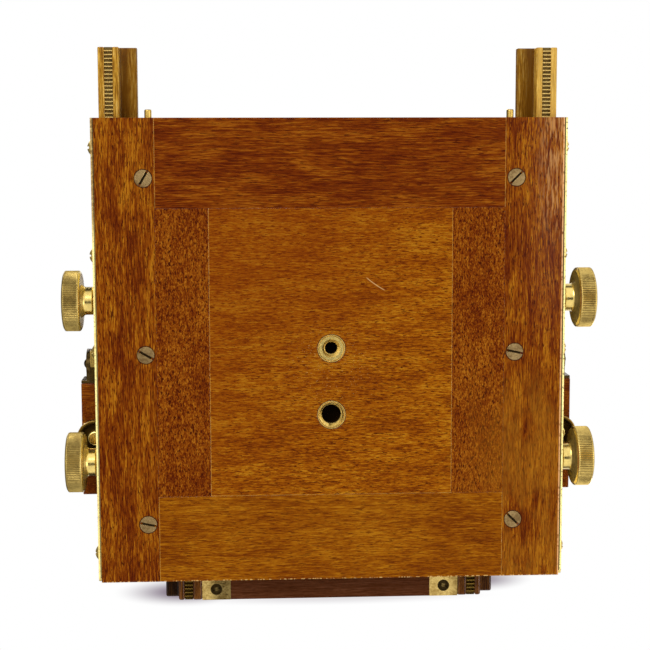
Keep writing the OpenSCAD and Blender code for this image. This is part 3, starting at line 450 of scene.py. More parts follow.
def turnedPiece(node, form, finish, body, sharpAngle):
    # a lathe form in place of its CAD node
    makePiece(node + ".turned", form, finish, body, sharpAngle, (node,))


def joinForms(forms):
    # several forms made into one
    points, faces, count = [], [], 0
    for formPoints, formFaces in forms:
        points.append(formPoints)
        faces += [[i + count for i in face] for face in formFaces]
        count += len(formPoints)
    return np.concatenate(points), faces


def turnedForm(profile, columns, ripple=None):
    # a lathe form: each profile point (radius, height) goes round the z axis; ripple adds to its radius
    radius, height = np.asarray(profile, float).T[:, :, None]
    angle = np.arange(columns)[None, :] * fullTurn / columns
    even = np.ones((1, columns))
    radii = radius * even
    if ripple is not None:
        radii = radii + ripple(angle, height, radius)
    points = np.stack([radii * np.cos(angle), radii * np.sin(angle), height * even], -1)
    return points.reshape(-1, 3), gridFaces(len(radius), columns)


def onAxis(form, axis, centre, sign=1):
    # lays a form made round z onto another axis, its height running along sign times that axis
    x, y, z = form[0].T
    turned = {"x": (z * sign, x * sign, y), "y": (x, z * sign, -y * sign), "z": (x * sign, y, z * sign)}[axis]
    return np.stack(turned, -1) + np.asarray(centre), form[1]


def roundedProfile(stations):
    # stations are (radius, height, rounding); an arc takes off each corner, and rounding 0 keeps it crisp
    made = []
    t = np.linspace(0, 1, 5)[:, None]
    for i, (radius, height, rounding) in enumerate(stations):
        corner = np.array([radius, height], float)
        if rounding and 0 < i < len(stations) - 1:
            ways = [np.array(stations[j][:2], float) - corner for j in (i - 1, i + 1)]
            start, end = [corner + way / np.linalg.norm(way) * rounding for way in ways]
            made.append((1 - t) ** 2 * start + 2 * t * (1 - t) * corner + t ** 2 * end)
        else:
            made.append(corner[None])
    return np.concatenate(made)


def spreadRows(profile, heights):
    # adds points at these heights on the profile's longest upright stretch
    lengths = np.where(np.abs(np.diff(profile[:, 0])) < 1e-6, np.diff(profile[:, 1]), 0)
    at = int(np.argmax(np.abs(lengths)))
    low, high = sorted(profile[at:at + 2, 1])
    inside = sorted([h for h in heights if low + 0.01 < h < high - 0.01], reverse=bool(lengths[at] < 0))
    between = np.array([(profile[at, 0], h) for h in inside]).reshape(-1, 2)
    return np.concatenate([profile[:at + 1], between, profile[at + 1:]])


def knurledForm(stations, knurl):
    # a lathe form with a straight knurl round its rim
    low, high, soft, teeth = (knurl[key] for key in ("low", "high", "soft", "teeth"))
    profile = spreadRows(roundedProfile(stations), np.linspace(low, high, knurl["rows"]))
    rim = profile[:, 0].max() - knurl["reach"]

    def ridges(angle, height, radius):
        fade = np.clip((height - low) / soft, 0, 1) * np.clip((high - height) / soft, 0, 1)
        wave = (0.5 - 0.5 * np.cos(angle * teeth)) ** knurl["power"]
        return -knurl["depth"] * wave * fade * (radius > rim)

    return turnedForm(profile, teeth * knurl["fine"], ridges)


def roundedBlock(centre, extent, radius, steps=4):
    # a block with all its edges rounded, as a swollen sphere grid
    rows, columns = 4 * steps + 2, 8 * steps
    pitch = np.linspace(-math.pi / 2, math.pi / 2, rows)
    turn = (np.arange(columns) + 0.5) * fullTurn / columns
    ball = np.stack([np.cos(pitch)[:, None] * np.cos(turn), np.cos(pitch)[:, None] * np.sin(turn),
                     np.sin(pitch)[:, None] * np.ones(columns)], -1)
    push = np.sign(np.round(ball, 6)) * np.clip(np.array(extent) / 2 - radius, 0, None)
    return (ball * radius + push).reshape(-1, 3) + np.asarray(centre), gridFaces(rows, columns)


def roundedCopy(node, finish, width, steps=2, angle=35.0):
    # a CAD piece with its edges rounded by width mm: its own mesh copied, merged and bevelled
    source = frame["nodes"][node]
    mesh = source.data.copy()
    mergeTwins(mesh, 2e-6, math.radians(0.5))
    piece = dress(node + ".rounded", mesh, finish, source["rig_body"], angle, (node,))
    bevel = piece.modifiers.new("edges", "BEVEL")
    bevel.width, bevel.segments, bevel.limit_method = width * mm, steps, "ANGLE"
    bevel.angle_limit, bevel.harden_normals = math.radians(angle), False
    piece.modifiers.new("flats", "WEIGHTED_NORMAL").keep_sharp = True


def finishNode(node, finish):
    # a CAD node that keeps its own mesh
    mesh = frame["nodes"][node].data
    mesh.materials.clear()
    mesh.materials.append(finish)


# Light: a white room for the camera, a darker one with bright walls for the metal, and soft lamps
studio = {
    "plain": 0.62,
    "bright": 1.25,
    "dark": 0.03,
    "hole": (0.05, 0.125, 0.19),
    "lamps": {
        "below": ((-0.75, -1.1, -1.35), (0, 0, 0.02), 1.1, 17.0),
        "belowRight": ((1.15, 0.2, -1.0), (0, 0, 0.02), 0.7, 6.0),
        "above": ((-0.9, -1.2, 1.7), (0, 0, 0.1), 1.0, 24.0),
        "aboveBack": ((1.1, 1.3, 1.4), (0, 0, 0.1), 0.9, 12.0),
    },
    "floor": 6.0,
    "shadowHeight": 70 * mm,
    "shadowX": 0.14,
    "shadowY": (0.06, 0.15),
    "shadows": ((-64.0, 122.0, 34.0, 7.5, 1.0), (72.0, 118.5, 28.0, 6.5, 0.85), (4.0, 126.0, 84.0, 4.0, 0.3)),
}


def makeWorld():
    # glossy rays find a dark hole round the lens below, bright walls beside it and a dim room above
    world = bpy.data.worlds.new("room")
    scene.world = world
    tree = Tree(world)
    path = tree.node("ShaderNodeLightPath", {}, {}).socket.node
    camera, through, glossy = [Wire(tree, path.outputs["Is %s Ray" % kind])
                               for kind in ("Camera", "Transmission", "Glossy")]
    seen = camera | through
    x, y, z = tree.node("ShaderNodeTexCoord", {}, {}, "Generated").parts()
    down = z * -1 | 0.05
    holeX, holeY, holeHalf = studio["hole"]
    across, along = x / down, y / down
    hole = (abs(across - holeX) | abs(along - holeY)).rise(holeHalf, holeHalf + 0.035)
    window = across.rise(0.197, 0.202) * across.fall(0.214, 0.22) * along.fall(0.07, 0.14)
    walls = (z * -1).rise(-0.2, 0.15) * (x * 0.35 + 1)
    above = z.rise(0.2, 0.7) * x.rise(-0.06, 0.1) * 0.9
    shine = ((hole | window) * walls | above) * studio["bright"] + studio["dark"]
    strength = seen + (1 - seen) * (glossy * shine + (1 - glossy) * studio["plain"])
    background = tree.node("ShaderNodeBackground", {}, {"Color": (1, 1, 1, 1), "Strength": strength})
    tree.node("ShaderNodeOutputWorld", {}, {"Surface": background})


def makeLamps():
    # square lamps, each turned towards its target
    for name, (place, target, width, power) in studio["lamps"].items():
        data = bpy.data.lights.new(name, "AREA")
        data.size, data.energy = width, power
        lamp = bpy.data.objects.new(name, data)
        lamp.location = place
        lamp.rotation_mode = "QUATERNION"
        lamp.rotation_quaternion = (Vector(target) - Vector(place)).to_track_quat("-Z", "Y")
        scene.collection.objects.link(lamp)


def stageCard(name, corners, tree, surface):
    # one flat face of the room
    tree.node("ShaderNodeOutputMaterial", {}, {"Surface": surface})
    mesh = bpy.data.meshes.new(name)
    mesh.from_pydata(corners, [], [(0, 1, 2, 3)])
    mesh.materials.append(tree.owner)
    card = bpy.data.objects.new(name, mesh)
    scene.collection.objects.link(card)


def makeFloor():
    # seen by the camera from above only, so that the base can be photographed from below
    level, half = cadLow.z - 0.2 * mm, studio["floor"]
    tree = newFinish("floor")
    clear = tree.node("ShaderNodeBsdfTransparent", {}, {})
    matt = tree.node("ShaderNodeBsdfDiffuse", {}, {"Color": (0.9, 0.9, 0.9, 1)})
    shown = tree.node("ShaderNodeMixShader", {}, {0: tree.facing(), 1: clear, 2: matt})
    corners = [(-half, -half, level), (half, -half, level), (half, half, level), (-half, half, level)]
    stageCard("floor", corners, tree, shown)


def makeTableShadow():
    # the photograph's object stood on its rear end: soft shadows beside the rail ends, seen from below only
    height, half, (near, far) = studio["shadowHeight"], studio["shadowX"], studio["shadowY"]
    tree = newFinish("tableShadow")
    x, y, z = tree.place().parts()
    dark = None
    for across, along, wide, tall, strength in studio["shadows"]:
        spot = (1 - distance((x - across) / wide, (y - along) / tall)).rise(0.0, 0.9) * strength
        dark = spot if dark is None else dark | spot
    tint = tree.mix(dark * tree.facing(), (1, 1, 1, 1), tone(132, 116, 134))
    corners = [(-half, near, height), (-half, far, height), (half, far, height), (half, near, height)]
    stageCard("tableShadow", corners, tree, tree.node("ShaderNodeBsdfTransparent", {}, {"Color": tint}))


makeWorld()
makeLamps()
makeFloor()
makeTableShadow()
print("room lit")


# Base: glued boards with their edges just broken, the marks that years have left on them, and painted sheen,
# highlights and shade
base = {
    "edge": 0.14,
    "glue": (206, 150, 60),
    "chip": (222, 178, 108),
    "screwRadius": 3.5,
    "screwRows": (-69.55, 2.05, 72.55),
    "rightEdge": 94.55,
    "scratch": (18, -26.2),
    "bushesY": 8,
}
panelHigh = spanMm("base_panel")[1]
boardHigh = spanMm("base_board_rear")[1]
screwHigh = spanMm("base_screws")[1]


def panelGlue(x, y, z):
    # a thin light line along the panel's two sides and its rear edge
    line = abs(abs(x) - panelHigh[0]).fall(0.1, 0.32) | abs(y - panelHigh[1]).fall(0.1, 0.32)
    return line * patchy(x, y, z, 2.0, 2.0, 0.2, 0.6) * 0.85


def boardGlue(x, y, z):
    # the same where the front and rear boards meet the side boards
    return abs(abs(x) - boardHigh[0]).fall(0.1, 0.36) * patchy(x, y, z, 2.0, 2.5, 0.2, 0.6) * 0.8


def redCorner(x, y, z):
    # the panel is redder towards its front left corner
    return (x + y).fall(-80, 60) * 0.45


def sheenCorner(x, y, z):
    # painted sheen: a soft glare on the varnish, painted as lighter streaky wood at the rear right
    faded = x.rise(45, 82) * y.rise(2, 30) * patchy(x, y, z, 7.0, 30.0, 0.3, 0.6)
    return faded * (patchy(x, y, z, 0.4, 4.0, 0.35, 0.6) * 0.45 + 0.15)


def glintFront(x, y, z):
    # painted highlights: thin pale glints on the varnish along the right edge, at the front
    return x.rise(82, 91) * y.fall(-66, -36) * patchy(x, y, z, 0.9, 8.0, 0.45, 0.62) * 0.6


def screwShadeAndGrime(x, y, z):
    # painted shade and grime: a dark ring round the sunk screws
    radius = base["screwRadius"]
    across = abs(x) - (screwHigh[0] - radius)
    front, middle, rear = [abs(distance(across, y - row) - (radius + 0.05)).fall(0.15, 0.5)
                           for row in base["screwRows"]]
    return (front | middle | rear) * 0.8


def lowEdge(past, z):
    # the last half millimetre before an edge, close to the underside
    return past.rise(0.0, 0.3) * z.fall(0.4, 1.0)


def rearChips(x, y, z):
    # the varnish has chipped off along the rear edge
    return lowEdge(y - (boardHigh[1] - 0.55), z) * patchy(x, y, z, 1.1, 3.0, 0.5, 0.6) * 0.9


def edgeHighlight(x, y, z):
    # painted highlight: a pale line where the right edge catches light
    return lowEdge(x - base["rightEdge"], z) * patchy(x, y, z, 3.0, 2.0, 0.25, 0.5) * 0.9


def longScratch(x, y, z):
    # one pale scratch across the panel: the distance from a slanting, bent line, between its ends
    u, v = x - base["scratch"][0], y - base["scratch"][1]
    across, along = u * 0.57 - v * 0.82, u * 0.82 + v * 0.57
    return abs(across - along * along * 0.012).fall(0.08, 0.3) * abs(along).fall(3.5, 5.0) * 0.7


def bushMarks(x, y, z):
    # small scars in the varnish round both bushes
    return distance(x, y - base["bushesY"]).fall(9, 26) * patchy(x, y, z, 0.8, 0.5, 0.66, 0.7) * 0.6


def buildBase():
    glue, chips = base["glue"], (rearChips, base["chip"])
    stile = woodFinish("stileWood", "stile", [(sheenCorner, (160, 102, 20)), (glintFront, (206, 148, 84)),
                                              (edgeHighlight, (240, 180, 120)), chips, (screwShadeAndGrime, (44, 16, 2))])
    strips = woodFinish("stripWood", "strip", [(sheenCorner, (156, 96, 14))])
    panel = woodFinish("panelWood", "panel", [(redCorner, (118, 46, 0)), (panelGlue, glue),
                                              (bushMarks, base["chip"]), (longScratch, (214, 170, 110))])
    for node in ("base_stile_left", "base_stile_right"):
        roundedCopy(node, stile, base["edge"])
    for side in ("front", "rear"):
        board = woodFinish(side + "BoardWood", side + "Board", [(boardGlue, glue), chips])
        roundedCopy("base_board_" + side, board, base["edge"])
    roundedCopy("base_strips", strips, base["edge"])
    roundedCopy("base_panel", panel, base["edge"])


buildBase()
print("base built")


# Tripod bushes: turned brass with a chamfered mouth and a real thread, with painted shade inside
bushes = {
    "small_bush": {"bore": 2.55, "pitch": 1.27, "thread": 0.62},
    "large_bush": {"bore": 3.975, "pitch": 1.5875, "thread": 0.78},
}


def boreShade(x, y, z):
    # painted shade: dark from the first turns of the thread upwards, where the bore is unlit
    return z.rise(1.2, 4.5)


def buildBush(node, look, finish):
    # profile: the bore's floor and wall, its mouth, the face with one turned ring, the outside
    low, high = spanMm(node)
    outer, length = (high[0] - low[0]) / 2, high[2] - low[2]
    deep = length - 0.3
    bore, pitch, depth = look["bore"], look["pitch"], look["thread"]
    mouth = min(bore + depth + 0.6, outer - 1.0)
    wall = [(bore, h) for h in np.linspace(deep, mouth - bore, int(length / pitch * 10))]
    face = [(mouth, 0.0), (outer - 0.85, 0.0), (outer - 0.7, 0.3), (outer - 0.55, 0.0), (outer - 0.25, 0.0),
            (outer - 0.02, 0.3), (outer, 0.5), (outer, length), (0.0, length)]

    def thread(angle, height, radius):
        # a 60 degree groove that climbs one pitch in each turn
        turn = (height / pitch + angle / fullTurn) % 1
        groove = np.clip(1 - np.abs(turn - 0.5) * 2.3, 0, 1)
        return groove * depth * (np.abs(radius - bore) < 0.01) * np.clip((deep - height) * 2, 0, 1)

    form = onAxis(turnedForm([(0.0, deep)] + wall + face, 64, thread), "z", footMm(node, 2))
    turnedPiece(node, form, finish, "base", 32.0)


bushBrass = brassFinish("bushBrass", "bush", boreShade)
for bushNode, bushLook in bushes.items():
    buildBush(bushNode, bushLook, bushBrass)
print("bushes turned")


# Slotted screw heads on a grid of straight rows, so that the slot has true walls
smallScrew = {"radius": 1.5, "dome": 0.22, "slot": 0.5, "depth": 0.35}
flangeScrew = {"radius": 1.9, "dome": 0.5, "slot": 0.6, "depth": 0.5}
springScrew = dict(flangeScrew, radius=2.1)
brass = {name: brassFinish(name + "Brass", name)
         for name in ("screw", "sideScrew", "bright", "plain", "knob", "lug")}


def screwHead(look, turn, columns=16):
    # x = u * sqrt(1 - v * v) and y = v; the rows inside the slot drop to its floor
    radius, dome = look["radius"], look["dome"]
    half = look["slot"] / 2 / radius
    outer = -np.cos(np.linspace(0.06, math.acos(half + 0.05), 8))
    v = np.concatenate([outer, [-half, -half + 1e-4, half - 1e-4, half], -outer[::-1]])
    x = np.sqrt(1 - v[:, None] ** 2) * np.linspace(-1, 1, columns)[None, :]
    y = v[:, None] * np.ones(columns)
    height = dome * (1 - np.clip(x ** 2 + y ** 2, 0, 1) ** 1.6)
    height[np.abs(v) < half] = dome - look["depth"]
    top = np.stack([x, y, height / radius], -1).reshape(-1, 3) * radius
    rows = len(v)
    last = (rows - 1) * columns
    edge = list(range(columns)) + [i * columns + columns - 1 for i in range(1, rows)]
    edge += [last + i for i in range(columns - 2, -1, -1)] + [i * columns for i in range(rows - 2, 0, -1)]
    low = top[edge] * [1, 1, 0] - [0, 0, 0.3 * radius]
    count, around = len(top), len(edge)
    walls = [[edge[(i + 1) % around], edge[i], count + i, count + (i + 1) % around] for i in range(around)]
    underside = [list(range(count + around - 1, count - 1, -1))]
    cosine, sine = math.cos(math.radians(turn)), math.sin(math.radians(turn))
    points = np.concatenate([top, low]) @ np.array([[cosine, sine, 0], [-sine, cosine, 0], [0, 0, 1]])
    return points, gridFaces(rows, columns, False) + walls + underside


def screwGroup(name, look, spots, body):
    # spots are (place in mm, axis, sign, slot angle); one piece holds the whole group
    heads = [onAxis(screwHead(look, turn), axis, place, sign) for place, axis, sign, turn in spots]
    makePiece(name, joinForms(heads), brass["screw"], body, 35.0)


# Side plates, runners, their screws and the stop pins
plates = {
    "edge": 0.12,
    "pinRadius": 1.45,
    "pinLength": 11.4,
    "capX": 74.1,
    "capTop": 22.0,
    "capRows": (-84, -41, 2, 45, 88),
}
plateLow = spanMm("side_plates")[0]


def plateGap(x, y, z):
    # painted shade: a dark line in the gap between the wood and the plate; and file marks along the plate's
    # lower edge
    edge = (abs(x) + plateLow[0] + 1.2).fall(0.4, 0.6)
    right = x.rise(0, 1)
    nick = patchy(x, y, z, 0.7, 0.8, 0.56, 0.66) * 0.5
    return z.fall(0.1, 0.4) * (edge * (right * 0.15 + 0.75) | nick * (right * 0.6 + 1))


def dullPlate(x, y, z):
    # the front of the left plate takes a duller, darker colour
    return x.fall(0, 1) * y.fall(-58, -40) * (patchy(x, y, z, 2.0, 1.5, 0.3, 0.6) * 0.3 + 0.65)


def slotShade(x, y, z):
    # painted shade: everything under the screws' faces, in the slots and countersinks, is dark
    return z.rise(0.1, 0.4) * 0.92


def buildPlates():
    sunk = brassFinish("sunkScrewBrass", "screw", slotShade)
    screws = {"base_screws": sunk, "side_screws": brass["sideScrew"], "hinge_screws": brass["lug"]}
    for node, finish in screws.items():
        roundedCopy(node, finish, 0.08, 2, 30.0)
    roundedCopy("side_plates", brassFinish("plateBrass", "plate", plateGap, dullPlate), plates["edge"])
    roundedCopy("runner_caps", brass["plain"], 0.1)
    radius, length = plates["pinRadius"], plates["pinLength"]
    stations = [(0.0, -length, 0), (radius, -length, 0), (radius, 0.0, 0.6), (0.0, 0.0, 0)]
    pin, foot = turnedForm(roundedProfile(stations), 32), footMm("stop_pins", 1)
    outwards = spanMm("stop_pins")[1][0] - radius
    pins = [onAxis(pin, "y", (side * outwards, foot[1], foot[2]), -1) for side in bothWays]
    turnedPiece("stop_pins", joinForms(pins), brass["plain"], "base", 50.0)
    spots = [((side * plates["capX"], y, plates["capTop"]), "z", 1, 25 + 47 * row + 31 * side)
             for side in bothWays for row, y in enumerate(plates["capRows"])]
    screwGroup("capScrews", smallScrew, spots, "base")
    roundedCopy("runners", woodFinish("runnerWood", "rearRail"), 0.15)


buildPlates()
print("screws and plates in place")


# Knobs: lathe forms whose rim carries a straight knurl. Stations are (radius, height, rounding) in mm
focusKnob = {
    "stations": [(0.0, 0, 0), (5.3, 0, 0.15), (5.7, 0.4, 0.1), (5.7, 3.5, 0.6), (6.9, 4.9, 0.15),
                 (11.3, 4.9, 0.3), (12.4, 5.5, 0.45), (12.4, 11.5, 0.45), (11.3, 12.1, 0.3), (9.3, 12.1, 0.2),
                 (9.1, 11.3, 0.2), (4.1, 11.3, 0.2), (3.9, 12.1, 0.2), (2.2, 12.1, 0.3), (0.0, 12.4, 0)],
    "knurl": {"teeth": 98, "depth": 0.36, "low": 5.5, "high": 11.5, "soft": 0.5, "power": 0.7, "reach": 1.0,
              "rows": 9, "fine": 4},
    "axisY": (13.9, 33.55),
    "axisZ": 7.5,
}
yokeKnob = {
    "stations": [(6.0, 0.0, 0.2), (6.0, 1.6, 0.1), (7.8, 1.6, 0.2), (8.9, 2.3, 0.4), (8.9, 6.9, 0.4),
                 (7.8, 7.6, 0.3), (4.7, 7.6, 0.2), (4.5, 8.6, 0.3), (0.0, 8.7, 0)],
    "knurl": dict(focusKnob["knurl"], teeth=51, depth=0.32, low=2.4, high=6.8),
    "necks": {"tilt": 2.95, "rise": 2.35},
    "neckLength": 7.0,
    "head": 8.6,
}
clampKnob = {
    "stations": [(0.0, 0.0, 0), (2.7, 0.0, 0.35), (3.1, 0.5, 0.2), (3.1, 2.0, 0.3), (6.3, 2.0, 0.4),
                 (6.3, 0.0, 0.15), (7.7, 0.0, 0.35), (7.7, 3.2, 0.35), (2.0, 3.2, 0.1), (2.0, 5.2, 0.2),
                 (0.0, 5.2, 0)],
    "knurl": {"teeth": 44, "depth": 0.3, "low": 0.5, "high": 2.7, "soft": 0.4, "power": 1, "reach": 0.5,
              "rows": 7, "fine": 6},
}
clampMiddle = middleMm("clamp_knob_right")


def neckPolishAndHighlight(x, y, z):
    # the neck stays polished bright; a painted highlight brightens the inner edge of the left rims
    out = abs(x)
    edge = out.rise(101.88, 101.95) * out.fall(102.4, 102.5) * x.fall(-1, 1)
    return out.fall(100.2, 100.9) * 0.4 | edge * 0.9


def knobShade(x, y, z):
    # painted shade: dark fillets, dark faces behind the right rims, a browner left pair and darker knurl
    # valleys
    out, right = abs(x), x.rise(-1, 1)
    fillet = out.rise(100.4, 100.9) * out.fall(101.86, 101.9)
    rim = out.rise(102.2, 102.6)
    # both axes fall on one when y is folded halfway between them
    middle, half = focusKnob["axisY"]
    away = distance(abs(y - middle) - half, z - focusKnob["axisZ"])
    groove = rim * out.fall(108.2, 108.5) * away.fall(12.1, 12.36) * 0.6
    return fillet * (right * 0.5 + 0.25) | rim * (1 - right) * 0.42 | groove


def clampAway(x, y):
    # distance from the nearer clamp screw's axis
    return distance(abs(x) - clampMiddle[0], y - clampMiddle[1])


def dishShade(x, y, z):
    # painted shade in the recessed ring between the hub and the rim
    away = clampAway(x, y)
    return away.rise(3.0, 3.4) * away.fall(6.6, 7.2) * 0.9


def hubHighlight(x, y, z):
    # a painted highlight: the raised hub is bright
    return clampAway(x, y).fall(2.9, 3.2)


def turnKnob(node, body, look, axis, centre, sign, finish):
    form = onAxis(knurledForm(look["stations"], look["knurl"]), axis, centre, sign)
    turnedPiece(node, form, finish, body, 38.0)


def buildSideKnobs():
    focusBrass = brassFinish("focusBrass", "knob", knobShade, neckPolishAndHighlight)
    for side, sign in (("left", -1), ("right", 1)):
        for drive in ("front", "rear"):
            node = drive + "_knob_" + side
            turnKnob(node, drive + "_drive", focusKnob, "x", footMm(node, 0, sign), sign, focusBrass)
        for kind, neck in yokeKnob["necks"].items():
            node, length = kind + "_knob_" + side, yokeKnob["neckLength"]
            stations = [(0, -length, 0), (neck, -length, 0.3), (neck, 0.0, 0)] + yokeKnob["stations"]
            centre = footMm(node, 0, -sign) - [yokeKnob["head"] * sign, 0, 0]
            turnKnob(node, node, dict(yokeKnob, stations=stations), "x", centre, sign, brass["knob"])


def buildClamps():
    # clamp screws under the rear standard: dished discs round a hub
    clampBrass = brassFinish("clampBrass", "clamp", dishShade, hubHighlight)
    for node in ("clamp_knob_left", "clamp_knob_right"):
        turnKnob(node, node, clampKnob, "z", footMm(node, 2), 1, clampBrass)


buildSideKnobs()
print("knobs turned")
buildClamps()
print("clamp screws turned")


# Rails, racks, shafts and the cross boards that ride on them
railLow, railHigh = spanMm("front_rail_right")
rearEnd = spanMm("rear_rail_right")[1][1]
# the corner screws' places, alike on both sides
cornerScrew = (48.25, rearEnd - 4.5)


def brownerLeftRail(x, y, z):
    # the left rail is browner than the right one
    return x.fall(-20, 20) * 0.15


def tongueShade(x, y, z):
    # the tongues are darker wood, with painted shade strongest beside the rails' walls
    out, face = abs(x), z.rise(railHigh[2] - 4.5, railHigh[2] - 4.1)
    streaks = patchy(x, y, z, 1.6, 30.0, 0.2, 0.55) * 0.4 + 0.6
    return face * out.fall(85.3, 85.6) * streaks * (out.rise(80.6, 83.2) * 0.3 + 0.65)


def rearTongueShade(x, y, z):
    # painted shade: the rear rails' tongues are nearly black, the left one most
    return abs(x).rise(64.2, 64.5) * (0.8 - x.rise(-10, 10) * 0.5)


def sunnyRail(x, y, z):
    # the right rail is palest outside its tongue
    return x.rise(85.5, 86.0) * 0.55


def toothGreaseAndShade(x, y, z):
    # grease and painted shade darken the gaps between the teeth
    return (z - railLow[2]).rise(0.5, 1.0) * 0.82


def sunkScrew(x, y, z):
    # painted shade: the corner screws lie in dark countersinks
    away = distance(abs(x) - cornerScrew[0], y - cornerScrew[1])
    hole = away.fall(2.4, 2.6) * (away.rise(0.3, 1.1) * 0.35 + 0.6)
    # painted shade across the plates: the left plate is darker except at its outer end, with dark patches,
    # the right one darkens towards its lower corner
    left = x.fall(-20, 20) * (x.rise(-53, -46) * 0.6 + patchy(x, y, z, 1.5, 0.6, 0.5, 0.7) * 0.3)
    right = x.rise(-20, 20) * (x - 48 + (z - 12) * 1.5).rise(-2, 9) * 0.45
    return hole | left | right


def earShade(x, y, z):
    # painted shade: the ears behind the lugs, beside the base, are nearly black
    return abs(x).rise(96.6, 96.9) * y.rise(9.5, 10.5) * 0.93


def buildRails():
    frontRail = woodFinish("frontRailWood", "rail", [(brownerLeftRail, (150, 100, 36)), (sunnyRail, (222, 178, 84)),
                                                     (tongueShade, (98, 58, 0))])
    rearRail = woodFinish("rearRailWood", "rearRail", [(rearTongueShade, (20, 10, 3))])
    for side in ("left", "right"):
        roundedCopy("front_rail_" + side, frontRail, 0.35)
        roundedCopy("rear_rail_" + side, rearRail, 0.8, 3)
    finishNode("front_racks", brassFinish("rackBrass", "bright", toothGreaseAndShade))
    finishNode("rear_racks", brassFinish("rearRackBrass", "clamp", toothGreaseAndShade))
    for node in ("front_shaft", "rear_shaft", "swing_pivot", "back_stud"):
        finishNode(node, brass["bright"])
    roundedCopy("front_crossboard", woodFinish("standBoardWood", "body"), 0.4)
    roundedCopy("rear_crosspiece", woodFinish("darkWood", "dark"), 0.25)
    roundedCopy("corner_plates", brassFinish("cornerBrass", "corner", sunkScrew), 0.08, 2, 30.0)
    roundedCopy("rear_platform", woodFinish("platformWood", "body"), 0.3)
    roundedCopy("rear_swing_bar", brassFinish("barBrass", "plain", earShade), 0.15)


buildRails()
print("rails and racks dressed")


# Front standard: bracket, yoke, lens frame and lens board
def mitred(middleZ, slope):
    # marks the top and bottom members of a frame, where they meet its uprights at a mitre
    return lambda x, y, z: (abs(z - middleZ) - abs(x) * slope).rise(-0.15, 0.15)


def buildFront():
    for node in ("front_bracket", "front_yoke", "board_catch"):
        roundedCopy(node, brass["plain"], 0.2)
    member = mitred(middleMm("lens_frame")[2], 1)
    frameWood = woodFinish("lensFrameWood", "bodyUpright", (), (member, "x"))
    roundedCopy("lens_frame", frameWood, 0.5, 3)
    roundedCopy("lens_board", woodFinish("lensBoardWood", "lensBoard"), 0.5, 3)


buildFront()
print("front standard dressed")


# Lens: barrel and flange, two glasses, the iris between them, the aperture ring
lens = {
    "barrel": [(19.0, 0.0, 0), (22.4, 0.0, 0.5), (22.4, 3.5, 0.4), (21.0, 5.0, 0.4), (21.0, 17.5, 0.3),
               (29.2, 17.5, 0.6), (30.0, 18.5, 0.5), (30.0, 20.5, 0.1), (21.0, 20.5, 0.0), (21.0, 37.5, 0.3),
               (18.0, 37.5, 0.3), (18.0, 3.0, 0.3), (19.0, 0.0, 0)],
    "flange": 17.5,
    "screws": 6,
    "screwCircle": 25.6,
    "blades": 12,
    "hole": 9.0,
    "bore": 17.6,
    "iris": 17.0,
    "leaf": {"sweep": 1.9, "width": 8.2, "step": 0.15, "thick": 0.08},
    "ring": [(21.05, 0.0, 0), (22.6, 0.0, 0.25), (23.6, 0.7, 0.35), (23.6, 4.3, 0.35), (22.6, 5.0, 0.25),
             (21.05, 5.0, 0), (21.05, 0.0, 0)],
    "knurl": {"teeth": 134, "depth": 0.3, "low": 0.8, "high": 4.2, "soft": 0.4, "power": 1, "reach": 0.4,
              "rows": 7, "fine": 4},
    "pointer": {"size": (2.2, 2.8, 3.6), "along": 2.5, "below": 24.8},
}
lensFront, lensHeight = footMm("lens_barrel", 1)[1:]


def buildLens():
    barrel = onAxis(turnedForm(roundedProfile(lens["barrel"]), 96), "y", (0.0, lensFront, lensHeight))
    turnedPiece("lens_barrel", barrel, brassFinish("barrelBrass", "lens"), "lens_carrier", 32.0)
    spots, circle = [], lens["screwCircle"]
    for i in range(lens["screws"]):
        angle = (i + 0.5) * fullTurn / lens["screws"]
        place = (circle * math.cos(angle), lensFront + lens["flange"], lensHeight + circle * math.sin(angle))
        spots.append((place, "y", -1, 17 + i * 71))
    screwGroup("flangeScrews", flangeScrew, spots, "lens_carrier")
    leaves = [irisLeaf(i) for i in range(lens["blades"])]
    steel = brassFinish("bladeSteel", "blackened")
    makePiece("irisLeaves", joinForms(leaves), steel, "lens_carrier", 30.0)
    finishNode("lens_glass", glassFinish())


def irisLeaf(i, columns=15):
    # a thin crescent between the hole's rim and the barrel's wall, each a little behind the one before
    leaf = lens["leaf"]
    depth, thick = lensFront + lens["iris"] + leaf["step"] * i, leaf["thick"]
    sweep = np.linspace(0, leaf["sweep"], columns)
    inner = lens["hole"] + 0.6 * np.sin(sweep * 1.4)
    bulge = np.sin(np.clip(sweep / leaf["sweep"], 0.02, 0.98) * math.pi) ** 0.6
    outer = np.minimum(inner + leaf["width"] * bulge, lens["bore"])
    angle = sweep + i * fullTurn / lens["blades"]
    corners = ((inner, 0.0), (outer, 0.0), (outer, thick), (inner, thick), (inner, 0.0))
    rows = [np.stack([r * np.cos(angle), np.full(columns, depth + side), lensHeight + r * np.sin(angle)], 1)
            for r, side in corners]
    return np.concatenate(rows), stripFaces(columns)


def buildRing():
    # a knurled ring with a small pointer under it
    front, look = footMm("aperture_ring", 1)[1], lens["pointer"]
    ring = onAxis(knurledForm(lens["ring"], lens["knurl"]), "y", (0.0, front, lensHeight))
    pointer = roundedBlock((0, front + look["along"], lensHeight - look["below"]), look["size"], 0.5)
    form = joinForms([ring, pointer])
    turnedPiece("aperture_ring", form, brass["knob"], "aperture_ring", 38.0)


buildLens()
buildRing()
print("lens built")


# Rear standard: box with finger joints, lugs, back and focusing frame
box = {
    "finger": 8.0,
    "wall": 95,
    "lugScrews": {"x": 98.2, "rows": (2.6, 12.2), "forward": 1.2, "up": 1.4},
    "postScrews": {"x": 72, "y": 13},
    "screenGrid": 10,
}
boxLow = spanMm("rear_box_ends")[0]
backMiddle = middleMm("back_frame")


